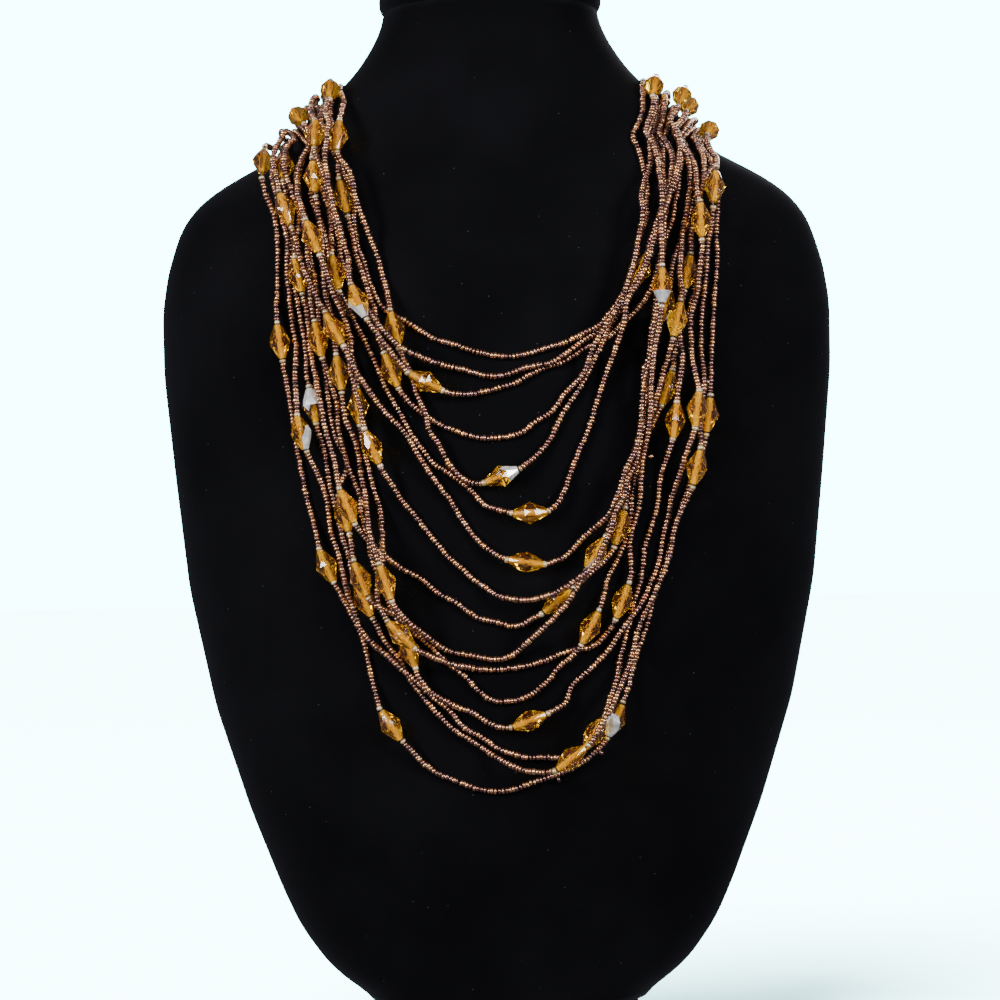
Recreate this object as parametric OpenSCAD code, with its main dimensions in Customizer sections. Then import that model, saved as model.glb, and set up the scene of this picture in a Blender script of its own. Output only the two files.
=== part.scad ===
// Multi-strand necklace of seed beads and amber bicones on a velvet neck bust.
// Millimetres. +Z is up, the wearer's front faces -Y, and the origin is the
// middle of the foot's underside.

/* [Bust] */
// Height of the whole bust, from the underside of the foot to the top of the neck
bust_h = 375; // [355:1:395]
// Width across the shoulders
shoulder_w = 236; // [228:1:250]
// How far the chest stands forward of the neck's middle plane
chest_d = 52; // [46:1:60]
// How far the back stands behind the neck's middle plane
back_d = 33; // [30:1:40]
// Height of the foot
foot_h = 20; // [12:1:26]
// Width of the foot
foot_w = 90; // [70:1:93]
// Depth of the foot
foot_d = 62; // [50:1:64]
// Corner radius of the foot
foot_r = 12; // [4:1:24]
// Height of the padded rim round the top of the neck
rim_h = 9; // [6:0.5:14]
// How far the rim bulges past the neck
rim_bulge = 1.5; // [0.5:0.1:3]

/* [Strings of seed beads] */
// Diameter of a seed bead, and so of each string
seed_d = 1.8; // [1.5:0.05:2]
// Diameter of the thread where it passes through an amber bead
thread_d = 0.6; // [0.4:0.05:0.8]
// Space left between one string and the next, and between a string and the bust
lay_gap = 0.12; // [0.1:0.01:0.2]
// Tightest curve that a string takes where it climbs over another
climb_r = 12; // [8:1:30]
// Longest straight step along a string
step_l = 13.5; // [13:0.5:20]

/* [Amber beads] */
// Length of an amber bead along its hole
amber_l = 11.4; // [9:0.1:12]
// Diameter of an amber bead at its waist
amber_d = 7.4; // [6.6:0.1:7.6]
// Diameter of an amber bead at each end
amber_end_d = 2.4; // [2:0.1:3]
// Diameter of the hole through an amber bead
amber_hole_d = 1; // [0.9:0.05:1.6]
// Space between an amber bead's end and the next seed bead
end_gap = 0.15; // [0.1:0.01:0.3]

/* [Nape and clasp] */
// Height on the neck of the topmost string as it runs round the nape
nape_z = 337; // [334:0.5:339]
// Distance from one string to the next down the nape
nape_pitch = 2.6; // [2.5:0.05:2.8]
// Width of the clasp bar
clasp_w = 12; // [8:1:20]
// Thickness of the clasp bar
clasp_t = 5.5; // [5:0.5:8]
// Corner bevel of the clasp bar
clasp_bevel = 1; // [0.5:0.1:2]
// How far the clasp bar reaches past the outermost strings, at each end
clasp_over = 1.2; // [0.5:0.1:3]

/* [Hidden] */
neck_z = bust_h - rim_h;
body_h = neck_z - foot_h;
half_w = shoulder_w / 2;
seed_r = seed_d / 2;
amber_r = amber_d / 2;
lie = seed_r + lay_gap;
bust_sides = 36;
string_sides = 8;
seam = 0.2;
columns = 8;
slope_reach = 6;
usual_lift = 2;
side_overlap = 8;
settle_rounds = 16;
touch_slack = 0.001;
end_share = 0.04;
step_reach = 2 * step_l + amber_d;
own_places = [0, 0.25, 0.5, 0.75, 1];
other_places = [0, 0.5, 1];

// Sections of the bust from foot to neck: share of the body's height, share of
// half the shoulder width, share of the chest's depth, share of the back's depth
SECTIONS = [
    [0.000, 0.394, 0.63, 0.94],
    [0.012, 0.452, 0.65, 0.95],
    [0.035, 0.536, 0.69, 0.97],
    [0.075, 0.620, 0.74, 0.97],
    [0.115, 0.673, 0.79, 0.95],
    [0.195, 0.763, 0.87, 0.91],
    [0.300, 0.860, 0.94, 0.85],
    [0.420, 0.932, 0.99, 0.79],
    [0.530, 0.966, 1.00, 0.76],
    [0.635, 0.995, 0.98, 0.76],
    [0.700, 0.996, 0.95, 0.79],
    [0.740, 0.978, 0.92, 0.82],
    [0.780, 0.941, 0.88, 0.86],
    [0.800, 0.907, 0.86, 0.88],
    [0.817, 0.852, 0.84, 0.90],
    [0.827, 0.810, 0.83, 0.91],
    [0.837, 0.755, 0.81, 0.92],
    [0.848, 0.690, 0.80, 0.94],
    [0.857, 0.636, 0.79, 0.95],
    [0.887, 0.573, 0.74, 0.98],
    [0.920, 0.466, 0.69, 1.00],
    [0.934, 0.420, 0.68, 1.00],
    [0.954, 0.377, 0.66, 1.00],
    [0.976, 0.338, 0.64, 0.99],
    [1.000, 0.316, 0.63, 0.98],
];

// Padded rim: share of the rim's height, share of the bulge
RIM = [
    [0.00, 0.2],
    [0.18, 0.8],
    [0.50, 1.0],
    [0.80, 0.6],
    [1.00, -1.2],
];

// The strings as they hang in front, from the wearer's right over the chest to
// the left. Each row is a point of one string: across, up, and 1 where an amber
// bead is centred on the point, or 2 where that bead is a silvered one.
ROUTES = [
    [[-58, 333], [-55, 316.5], [-51, 305.5], [-46, 278.5], [-42.5, 268], [-37.5, 258.5],
     [-31.5, 255], [-23.5, 250], [-18.5, 247.5], [-11.5, 245.5], [-5.5, 243.5], [1.5, 242],
     [7.5, 242.5], [14.5, 244], [22, 246], [29, 249], [35, 252], [39.5, 258], [42, 262],
     [45, 269.5], [47.5, 279.5], [50.5, 286.5], [52.5, 295], [51, 308], [50, 320],
     [53.5, 337.5]],
    [[-59.5, 331.5], [-57.5, 321], [-57, 314.5, 1], [-55.5, 302], [-53, 285.5], [-52, 276],
     [-44.5, 261], [-36, 249.5], [-32, 246], [-25.5, 242.5], [-17.5, 239], [-11.5, 237.5],
     [-2.5, 236], [1, 236], [10, 238], [19.5, 240], [24, 243.5], [29, 247], [35.5, 251],
     [38.5, 254.5], [44.5, 262], [49, 269.5, 1], [52, 279.5], [56, 288], [59.5, 295],
     [63.5, 309.5], [65, 324], [66.8, 327, 1]],
    [[-52.5, 333.5, 1], [-52.5, 321], [-52, 314], [-54, 305.5], [-52.5, 293.5], [-50, 282],
     [-48, 271], [-44.5, 260, 2], [-40, 251.5], [-34.5, 243.5], [-31, 239], [-24, 233.5, 1],
     [-17, 230.5], [-11.5, 230], [-5.5, 230.5], [1, 231.5], [7, 233.5], [11, 236],
     [16.5, 238.5], [21.5, 239.5], [25, 241.5], [30, 244.5], [35, 246.5], [38.5, 248.5],
     [43, 252.5], [50, 261.5], [54, 272], [56, 285], [57, 300], [55, 316], [58, 333]],
    [[-56.5, 334.5], [-53, 318], [-52, 307], [-50, 296, 1], [-48, 284.5], [-45.5, 273],
     [-43, 265.5], [-40.5, 256.5], [-39, 248], [-35.5, 238, 1], [-31, 229], [-23, 222],
     [-19, 219.5], [-14, 217.5], [-9, 216], [-3, 215], [3.5, 215.5], [8, 217], [13, 220],
     [16, 222], [22.5, 229], [25.5, 232.5], [28.5, 236], [32, 244], [36.5, 252.5],
     [42, 261.5], [45, 271], [48, 284], [50, 298], [53, 317], [56.5, 334.5]],
    [[-53.5, 337.5], [-50, 326], [-50.5, 314.5, 1], [-46.5, 300], [-43.5, 288], [-40, 276],
     [-37.5, 268], [-35.5, 260.5], [-34, 251.5, 1], [-31.5, 243], [-29.5, 238], [-27.5, 231],
     [-24.5, 224], [-23, 218], [-20.5, 214], [-17, 207], [-15, 204.5], [-11.5, 201.5],
     [-6.5, 200], [1, 202.5, 2], [9, 206], [13.5, 210], [17.5, 215], [20.5, 220.5],
     [26, 228.5], [31, 237], [34.5, 245], [40.5, 256], [44, 261.5], [49, 272], [53.5, 285],
     [58, 298], [57, 314.5], [59.5, 331.5]],
    [[-62, 328.5], [-60.5, 312.5], [-60, 307.5], [-57, 295.5], [-55, 281.5], [-53.5, 271, 1],
     [-50.5, 261.5], [-48, 255], [-45, 249], [-41.5, 241.5], [-37.5, 232], [-32.5, 223],
     [-27.5, 213.5], [-22, 207], [-15.5, 203], [-9.5, 197.5], [-6.5, 194], [1, 190.5],
     [10, 188.5, 1], [17.5, 191.5], [21, 196], [24.5, 204], [28.5, 213.5], [32.5, 223.5],
     [35, 231], [37.5, 238], [41, 251], [42.5, 258], [46, 264], [51, 276], [55.5, 289],
     [60, 302], [60, 312], [61, 327.5, 1]],
    [[-71, 319], [-72.5, 304.5], [-68.5, 291.5, 1], [-65.5, 280.5], [-63.5, 274],
     [-58.5, 262.5], [-53, 251.5, 1], [-48.5, 243.5], [-44.5, 235.5], [-38.5, 225.5],
     [-32.5, 218], [-26.5, 209.5], [-21, 200.5], [-16.5, 193.5], [-12, 186.5], [-6.5, 180.5],
     [0, 175.5], [8, 173, 1], [16, 173], [20, 174.5], [30, 184], [35, 189], [38.5, 196],
     [41, 203.5], [45, 211], [46.5, 222], [48.5, 233.5], [51, 247], [52, 254.5],
     [54.5, 270.5], [56.5, 281.5], [58.5, 293.5], [59, 305.5], [58.5, 313], [60.5, 330]],
    [[-64.5, 325.5, 1], [-64.5, 310], [-65.5, 300], [-62, 289], [-58.5, 281.5, 1],
     [-55.5, 272], [-52, 260], [-48.5, 249], [-48, 238], [-45.5, 228], [-44, 220.5],
     [-41.5, 212.5, 1], [-37, 202], [-32.5, 194.5], [-28, 188.5], [-23, 182], [-17.5, 176],
     [-8.5, 167.5], [-2.5, 163], [3, 162], [12, 162.5], [16, 163.5], [23, 167], [27.5, 170.5],
     [31.5, 176], [34, 182.5], [39.5, 194.5], [42, 201], [45.5, 208], [47.5, 217.5],
     [49.5, 236.5], [51.5, 250.5], [53, 260.5], [56, 274], [59.5, 283.5], [62, 293.5],
     [62.5, 310.5], [63.5, 327]],
    [[-69.5, 320.5], [-69.5, 305], [-66, 294], [-67, 281], [-66, 270.5, 1], [-64.5, 261],
     [-64, 254.5], [-62.5, 243.5], [-60.5, 235.5], [-58, 225.5], [-56, 215.5], [-53, 204],
     [-49, 193.5, 1], [-44.5, 183.5], [-39.5, 178], [-33.5, 172.5], [-27.5, 169],
     [-21.5, 163.5], [-14.5, 160], [-7, 155], [-2, 154], [4, 152.5], [11, 155],
     [18.5, 160.5, 1], [26, 166.5], [30.5, 170], [36, 175], [39.5, 184.5, 1], [43, 197],
     [44.5, 204], [46.5, 212], [49, 222.5], [52, 234], [53.5, 245], [56.5, 258.5, 1],
     [60.5, 272.5], [65.5, 287], [68, 294.5], [73.5, 302], [72.5, 317.5]],
    [[-60.5, 330], [-58.5, 314], [-59.5, 302, 1], [-58, 285], [-56, 270], [-55, 258],
     [-54, 247], [-52, 237.5, 1], [-50.5, 224.5], [-48, 215.5], [-47, 206.5], [-44.5, 195.5],
     [-42, 185.5], [-40, 178], [-37, 168.5, 1], [-33, 159.5], [-25, 149.5], [-19.5, 145.5],
     [-13.5, 143.5], [-9, 142], [-4, 141.5], [2, 142.5], [8, 147], [14.5, 153.5], [19, 158.5],
     [25.5, 167], [31, 176, 2], [36, 185.5], [38, 192], [43, 204], [49, 218], [52.5, 228.5],
     [55, 238], [57, 245], [58.5, 252.5, 2], [60.5, 262], [61, 271], [64.5, 288], [65.5, 308],
     [66.5, 324]],
    [[-63.5, 327], [-62, 311], [-59.5, 290], [-56, 275], [-52, 260], [-49.5, 245],
     [-47.5, 236.5], [-46.5, 226.5, 1], [-46, 215], [-43, 201], [-40.5, 192.5], [-39, 183],
     [-39, 171], [-40, 163], [-38, 157.5], [-33, 151, 1], [-26, 145], [-15, 140],
     [-7.5, 138.5], [-1, 138], [6, 138.5], [15.5, 141.5], [24.5, 144], [29.5, 145], [36, 151],
     [40, 160, 1], [43, 169], [43.5, 178.5], [46.5, 193.5], [47, 200], [49, 217], [49.5, 225],
     [50.5, 240], [52.5, 253], [53.5, 263, 2], [53.5, 274.5], [53.5, 285.5], [54.5, 303.5],
     [52, 319], [53.5, 333, 1]],
    [[-68, 322], [-68, 306.5], [-66, 294], [-63, 280], [-60, 255], [-57.5, 230], [-55, 216],
     [-51.5, 206], [-53.5, 199.5], [-52, 190.5, 1], [-49, 181], [-46, 169.5, 1],
     [-40.5, 160.5], [-34.5, 157], [-31, 153], [-27.5, 149], [-20.5, 142], [-16.5, 139],
     [-12, 135], [-7, 129.5], [-3, 127], [0.5, 127], [9, 129.5], [15.5, 134.5], [18, 138],
     [24, 143], [29.5, 151.5, 1], [33.5, 161], [35, 166], [39.5, 173.5], [44, 187.5],
     [45, 196], [48, 208.5], [53.5, 222], [57, 230.5, 1], [60, 242], [65, 256], [68.5, 266.5],
     [71, 282], [70.5, 296], [69.5, 305], [69.5, 320.5]],
    [[-66.5, 324], [-66, 308], [-63, 285], [-61.5, 266], [-61, 258.5], [-59.5, 249, 1],
     [-57, 239.5], [-55, 228], [-53.5, 218], [-51, 208], [-47.5, 197], [-47, 190.5],
     [-44, 177.5], [-39, 163], [-35, 154], [-31, 145.5, 1], [-28, 136.5], [-23.5, 130.5],
     [-16.5, 126.5], [-12, 124.5], [-7, 121], [-2.5, 119], [2, 119], [8.5, 121, 1], [16, 124],
     [20, 126.5], [23, 132], [28.5, 136.5], [34.5, 142.5], [38.5, 148.5], [42, 153],
     [46.5, 159.5], [53.5, 173], [55.5, 182.5], [59, 199], [61.5, 210], [63.5, 223, 1],
     [64.5, 243], [66.5, 261.5], [67.5, 272], [68, 285, 1], [67.5, 297], [68, 306.5],
     [68, 322]],
    [[-74.5, 315.5], [-75.5, 301], [-71.5, 288], [-70.5, 269.5], [-69, 252.5], [-67.5, 242.5],
     [-66.5, 227], [-65, 218, 2], [-62, 208.5], [-59.5, 197.5], [-56.5, 182], [-53.5, 172],
     [-49.5, 161], [-46, 152.5], [-38.5, 143], [-33, 138], [-26, 131.5], [-18, 124],
     [-14.5, 119.5], [-8, 115.5], [-0.5, 110.5], [4, 109], [13, 108.5], [18, 108.5],
     [23.5, 110], [29.5, 117, 1], [34, 125.5], [38, 134], [40, 142], [42, 150], [47, 166],
     [49.5, 181], [53.5, 192], [54.5, 201.5], [56.5, 210.5], [58, 219.5, 1], [60.5, 238],
     [62, 258], [65, 269, 1], [66, 281], [68.5, 293], [71.5, 303.5], [71, 319]],
    [[-72.5, 317.5], [-71.5, 308, 1], [-71, 299], [-70, 286], [-68.5, 266.5], [-67, 259],
     [-65.5, 249], [-64.5, 239.5], [-62, 227.5, 2], [-59.5, 213], [-57, 198], [-52.5, 179.5],
     [-50, 171], [-46, 162, 1], [-41.5, 152], [-39, 147], [-34.5, 140.5], [-32, 135.5],
     [-28.5, 130.5], [-23.5, 124.5], [-16, 117.5], [-11.5, 114], [-4.5, 110], [2.5, 106.5],
     [7.5, 105], [13.5, 105.5], [21, 110, 1], [28, 116.5], [31.5, 122.5], [36, 129],
     [42.5, 142], [47.5, 155], [54.5, 169.5], [59, 186], [63.5, 204, 1], [67.5, 226],
     [69.5, 248], [72.5, 282.5], [73, 296, 1], [74.5, 305], [73, 317.5, 1]],
    [[-76, 314.5], [-77, 306.5, 1], [-75, 294], [-74.5, 280], [-74, 258], [-73, 249, 1],
     [-71, 232.5], [-70, 222.5], [-67, 203], [-63, 187.5], [-59, 173.5, 1], [-53.5, 163],
     [-48, 149.5], [-45.5, 139.5], [-43, 130], [-38.5, 120, 1], [-32, 112], [-27, 106.5],
     [-19, 101.5], [-9, 98], [-4, 97.5], [3, 98], [11, 100], [19.5, 103], [27, 107],
     [31, 110.5], [37, 120.5, 2], [42, 131], [44, 138.5], [48, 149], [53, 165], [59, 183],
     [64, 197], [67.5, 206], [70.5, 221.5, 1], [73, 243.5], [75.5, 270], [77, 292], [77, 301],
     [75.5, 314.5]],
];

// Which place of the eight down the nape each string takes, on the wearer's
// right and on the left
NAPE_RIGHT = [1, 2, 0, 1, 0, 3, 6, 4, 5, 2, 3, 5, 4, 7, 6, 7];
NAPE_LEFT = [0, 4, 1, 1, 2, 3, 2, 3, 6, 4, 0, 5, 5, 6, 7, 7];

// The order in which the strings lie on each other, lowest first, each side
ORDER_RIGHT = [15, 14, 12, 9, 13, 11, 6, 10, 16, 1, 4, 5, 2, 3, 8, 7];
ORDER_LEFT = [16, 12, 9, 14, 13, 15, 10, 8, 7, 3, 2, 1, 5, 4, 6, 11];

// Surface of the bust as three curves over the height
WIDTH_CURVE = [for (s = SECTIONS) [foot_h + s[0] * body_h, s[1] * half_w]];
CHEST_CURVE = [for (s = SECTIONS) [foot_h + s[0] * body_h, s[2] * chest_d]];
BACK_CURVE = [for (s = SECTIONS) [foot_h + s[0] * body_h, s[3] * back_d]];

function width_at(z) = lookup(z, WIDTH_CURVE);
function depth_at(a, z) = lookup(z, sin(a) < 0 ? CHEST_CURVE : BACK_CURVE);

// Point of the bust at angle a round it, 90 at the nape and 270 at the chest
function on_bust(a, z) = [width_at(z) * cos(a), depth_at(a, z) * sin(a), z];

// Direction straight out of the bust at that point
function out_of_bust(a, z) =
    let (w = width_at(z), d = depth_at(a, z), c = cos(a), s = sin(a))
    let (dw = (width_at(z + slope_reach) - width_at(z - slope_reach)) / (2 * slope_reach))
    let (dd = (depth_at(a, z + slope_reach) - depth_at(a, z - slope_reach)) / (2 * slope_reach))
    let (n = [d * c, w * s, -(w * dd * s * s + d * dw * c * c)])
    n / norm(n);

// Angle round the bust of a point x across its front
function front_angle(x, z) = 360 - acos(max(-1, min(1, x / (width_at(z) + usual_lift))));

function nape_height(place) = nape_z - nape_pitch * place;
function clasp_angle(z) = asin((clasp_w / 2 + end_gap) / width_at(z));

// Control points of string k as [angle, height, bead]
function control(k) =
    let (zr = nape_height(NAPE_RIGHT[k]), zl = nape_height(NAPE_LEFT[k]))
    concat(
        [[90 + clasp_angle(zr), zr, 0], [110, zr, 0], [130, zr, 0], [150, zr, 0]],
        [for (p = ROUTES[k]) [front_angle(p[0], p[1]), p[1], len(p) > 2 ? p[2] : 0]],
        [[390, zl, 0], [410, zl, 0], [430, zl, 0], [450 - clasp_angle(zl), zl, 0]]);

// Distance along the control points, added up one by one
function run_up(v, i = 0, sum = 0, out = []) =
    i == len(v) ? out :
    let (d = i == 0 ? 0 : norm(on_bust(v[i][0], v[i][1]) - on_bust(v[i - 1][0], v[i - 1][1])))
    run_up(v, i + 1, sum + d, concat(out, [sum + d]));

function flat(p) = [p[0], p[1]];

// Slope of the smooth curve at control point i
function slope(v, t, i) =
    let (n = len(v) - 1)
    i == 0 ? (flat(v[1]) - flat(v[0])) / (t[1] - t[0]) :
    i == n ? (flat(v[n]) - flat(v[n - 1])) / (t[n] - t[n - 1]) :
    let (a = t[i] - t[i - 1], b = t[i + 1] - t[i])
    let (da = (flat(v[i]) - flat(v[i - 1])) / a, db = (flat(v[i + 1]) - flat(v[i])) / b)
    (b * da + a * db) / (a + b);

// Smooth curve through the control points at distance q along them
function curve_at(v, t, m, q, i = 0) =
    i < len(v) - 2 && q > t[i + 1] ? curve_at(v, t, m, q, i + 1) :
    let (h = t[i + 1] - t[i], u = max(0, min(1, (q - t[i]) / h)), u2 = u * u, u3 = u2 * u)
    (2 * u3 - 3 * u2 + 1) * flat(v[i]) + (u3 - 2 * u2 + u) * h * m[i]
    + (3 * u2 - 2 * u3) * flat(v[i + 1]) + (u3 - u2) * h * m[i + 1];

// Stations along a string: [distance, 1 if an amber bead follows]. Runs of seed
// beads are cut into equal steps, and an amber bead is one step of its own.
function stations(v, t) =
    let (half = amber_l / 2 + end_gap, n = len(v) - 1)
    let (at = [for (i = [0:n]) if (v[i][2] > 0) t[i]])
    let (from = concat([0], [for (q = at) q + half]), to = concat([for (q = at) q - half], [t[n]]))
    [for (r = [0:len(from) - 1])
        let (steps = max(1, ceil((to[r] - from[r]) / step_l)))
        for (j = [0:steps])
            [from[r] + (to[r] - from[r]) * j / steps, j == steps && r < len(from) - 1 ? 1 : 0]];

// A string before it is lifted: its stations as [distance, bead, point, direction out]
function laid(k) =
    let (v = control(k), t = run_up(v), m = [for (i = [0:len(v) - 1]) slope(v, t, i)])
    [for (s = stations(v, t))
        let (p = curve_at(v, t, m, s[0]))
        [s[0], s[1], on_bust(p[0], p[1]), out_of_bust(p[0], p[1])]];

LAID = [for (k = [0:len(ROUTES) - 1]) laid(k)];
LAST = [for (s = LAID) len(s) - 1];

// Pieces of a string's step j, lifted by h, for the test of what touches: [start, end,
// radius, shares of the step at the start and end]. A bead is six, thicker to its waist.
BEAD_CUTS = [0.36, 0.7, 1, 1, 0.7, 0.36];
function raise(r, h) = r[2] + h * r[3];
function pieces_of(s, j, h) =
    let (a = raise(s[j], h), b = raise(s[j + 1], h), e = amber_end_d / 2, n = len(BEAD_CUTS))
    s[j][1] == 0 ? [[a, b, seed_r, 0, 1]] :
    [for (i = [0:n - 1])
        let (from = i / n, to = (i + 1) / n)
        [a + (b - a) * from, a + (b - a) * to, e + (amber_r - e) * BEAD_CUTS[i], from, to]];

// Where two straight pieces come nearest: [distance, share along p, share along q]
function unit_clamp(x) = max(0, min(1, x));
function nearest(p, q) =
    let (d1 = p[1] - p[0], d2 = q[1] - q[0], r = p[0] - q[0])
    let (a = d1 * d1, e = d2 * d2, f = d2 * r, c = d1 * r, b = d1 * d2, w = a * e - b * b)
    let (s0 = w > 0.0001 * a * e ? unit_clamp((b * f - c * e) / w) : 0.5)
    let (t0 = unit_clamp((b * s0 + f) / e), s1 = unit_clamp((b * t0 - c) / a))
    let (t1 = unit_clamp((b * s1 + f) / e))
    [norm(p[0] + d1 * s1 - q[0] - d2 * t1), s1, t1];

// Share along piece p of its point nearest to x
function share_near(x, p) = let (d = p[1] - p[0]) unit_clamp((x - p[0]) * d / (d * d));
function along(p, u) = p[0] + (p[1] - p[0]) * u;

// Lifts of piece p at which it would touch piece q, as [step, share along the step,
// lowest, highest], tested where they come nearest and at places along both
function touches(j, p, q, out, h0, h1) =
    let (sep = p[2] + q[2] + lay_gap, best = nearest(p, q))
    best[0] >= sep ? [] :
    let (pairs = concat([[best[1], best[2]]],
        [for (u = own_places) [u, share_near(along(p, u), q)]],
        [for (t = other_places) [share_near(along(q, t), p), t]]))
    [for (c = pairs)
        let (v = along(p, c[0]) - along(q, c[1]), up = v * out, aside = v * v - up * up)
        if (aside < sep * sep)
            let (h = h0 + (h1 - h0) * (q[3] + (q[4] - q[3]) * c[1]) - up)
            let (dz = sqrt(sep * sep - aside))
            [j, p[3] + (p[4] - p[3]) * c[0], h - dz, h + dz]];

// Crossings of string k with the strings already laid on one side. Each pair of steps
// is compared at the height of the one that lies below.
function widest(r) = r[1] == 0 ? seed_r : amber_r;
function crossings(k, side, done) =
    let (s = LAID[k])
    let (own = [for (j = [0:len(s) - 2])
        if ((s[j][2][0] + s[j + 1][2][0]) / 2 * side > -side_overlap) j])
    [for (m = done)
        let (o = LAID[m[0]])
        for (i = [0:len(o) - 2])
            let (h = (m[1][i] + m[1][i + 1]) / 2, a = raise(o[i], h), b = raise(o[i + 1], h))
            for (j = own)
                if (norm(s[j][2] - o[i][2]) < step_reach)
                    let (c = raise(s[j], h), d = raise(s[j + 1], h))
                    if (nearest([c, d], [a, b])[0] < widest(s[j]) + widest(o[i]) + lay_gap)
                        let (out = s[j][3] + s[j + 1][3])
                        for (p = pieces_of(s, j, h)) for (q = pieces_of(o, i, h))
                            each touches(j, p, q, out / norm(out), m[1][i], m[1][i + 1])];

// Lifts of a string at its stations, eased down on both sides of each climb
function eased(s, need) =
    [for (i = [0:len(s) - 1]) max([for (j = [0:len(s) - 1])
        let (d = s[i][0] - s[j][0]) need[j] - d * d / (2 * climb_r)])];

// Raised round by round until the string passes clear of each crossing, over or under
function raised(s, cross_at, need, lift, round = 0) =
    let (hits = [for (c = cross_at)
        let (l = lift[c[0]] + (lift[c[0] + 1] - lift[c[0]]) * c[1])
        if (l > c[2] && l < c[3] - touch_slack) c])
    len(hits) == 0 || round == settle_rounds ? lift :
    let (more = [for (i = [0:len(s) - 1]) max(concat([need[i]],
        [for (c = hits)
            if (c[0] == i && c[1] < 1 - end_share || c[0] + 1 == i && c[1] > end_share) c[3]]))])
    let (next = eased(s, more))
    raised(s, cross_at, more, [for (i = [0:len(s) - 1]) max(next[i], lift[i])], round + 1);

function lifts(k, side, done) =
    let (s = LAID[k])
    let (need = [for (i = [0:LAST[k]])
        s[i][1] == 1 || (i > 0 && s[max(i - 1, 0)][1] == 1) ? amber_r + lay_gap : lie])
    raised(s, crossings(k, side, done), need, eased(s, need));

function lay_down(order, side, i = 0, done = []) =
    i == len(order) ? done :
    let (k = order[i] - 1)
    lay_down(order, side, i + 1, concat(done, [[k, lifts(k, side, done)]]));

DOWN_RIGHT = lay_down(ORDER_RIGHT, -1);
DOWN_LEFT = lay_down(ORDER_LEFT, 1);
function lifts_of(k, down) = [for (d = down) if (d[0] == k) d[1]][0];

// Centre line of string k: one point for each station
function centres(k) =
    let (a = lifts_of(k, DOWN_RIGHT), b = lifts_of(k, DOWN_LEFT), s = LAID[k])
    [for (i = [0:LAST[k]]) s[i][2] + max(a[i], b[i]) * s[i][3]];

// Rings of a string's tube: [centre, radius, station]. It is a thread inside an amber bead.
function rings(k) =
    let (c = centres(k), s = LAID[k])
    [for (i = [0:LAST[k]])
        for (r = i > 0 && s[max(i - 1, 0)][1] == 1 ? [thread_d / 2, seed_r] :
            s[i][1] == 1 ? [seed_r, thread_d / 2] : [seed_r])
            [c[i], r, i]];

function ring_way(c, i) = let (d = c[min(i + 1, len(c) - 1)] - c[max(i - 1, 0)]) d / norm(d);
function bead_way(c, s, i) =
    s[i][1] == 1 ? (c[i + 1] - c[i]) / norm(c[i + 1] - c[i]) :
    i > 0 && s[max(i - 1, 0)][1] == 1 ? (c[i] - c[i - 1]) / norm(c[i] - c[i - 1]) :
    ring_way(c, i);

// Wall of a tube or loft from its rings of n points each, closed at both ends
module skin_over(points, n) {
    last = len(points) / n - 1;
    walls = [for (i = [0:last - 1]) for (j = [0:n - 1])
        let (a = i * n + j, b = i * n + (j + 1) % n) [a, b, b + n, a + n]];
    caps = [[for (j = [n - 1:-1:0]) j], [for (j = [0:n - 1]) last * n + j]];
    polyhedron(points, concat(walls, caps), convexity = 6);
}

module string(k) {
    c = centres(k);
    s = LAID[k];
    points = [for (r = rings(k))
        let (way = bead_way(c, s, r[2]), n0 = s[r[2]][3], side = cross(way, n0))
        let (u = side / norm(side), w = cross(u, way))
        for (j = [0:string_sides - 1])
            r[0] + r[1] * (cos(360 * j / string_sides) * u + sin(360 * j / string_sides) * w)];
    color([0.36, 0.24, 0.27]) skin_over(points, string_sides);
}

// Where the amber beads sit: [string, station before the bead, kind]
BEADS = [for (k = [0:len(ROUTES) - 1])
    let (kinds = [for (p = ROUTES[k]) if (len(p) > 2) p[2]])
    let (at = [for (i = [0:LAST[k]]) if (LAID[k][i][1] == 1) i])
    for (b = [0:len(at) - 1]) [k, at[b], kinds[b]]];

// Eight-sided bicone along Z with a hole through it
module bicone() {
    side = [[amber_end_d / 2, -amber_l / 2], [amber_r, 0], [amber_end_d / 2, amber_l / 2],
        [-amber_end_d / 2, amber_l / 2], [-amber_r, 0], [-amber_end_d / 2, -amber_l / 2]];
    difference() {
        intersection_for (turn = [0:3])
            rotate([0, 0, 45 * turn])
                rotate([90, 0, 0])
                    linear_extrude(height = amber_d, center = true)
                        polygon(side);
        cylinder(d = amber_hole_d, h = amber_l + 2, center = true, $fn = 24);
    }
}

module amber(k, i, kind) {
    c = centres(k);
    way = c[i + 1] - c[i];
    across = norm([way[0], way[1]]);
    color(kind == 2 ? [0.75, 0.72, 0.68] : [0.72, 0.42, 0.08])
        translate((c[i] + c[i + 1]) / 2)
            rotate([0, atan2(across, way[2]), atan2(way[1], way[0])])
                bicone();
}

module bust() {
    points = [for (s = SECTIONS) for (j = [0:bust_sides - 1])
        let (z = foot_h + s[0] * body_h - (s[0] == 1 ? seam : 0))
        on_bust(360 * j / bust_sides, z)];
    color([0.07, 0.07, 0.08]) skin_over(points, bust_sides);
}

module neck_rim() {
    points = [for (r = RIM) for (j = [0:bust_sides - 1])
        let (a = 360 * j / bust_sides, p = on_bust(a, neck_z))
        [p[0], p[1], neck_z + r[0] * rim_h] + rim_bulge * r[1] * [cos(a), sin(a), 0]];
    color([0.07, 0.07, 0.08]) skin_over(points, bust_sides);
}

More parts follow.
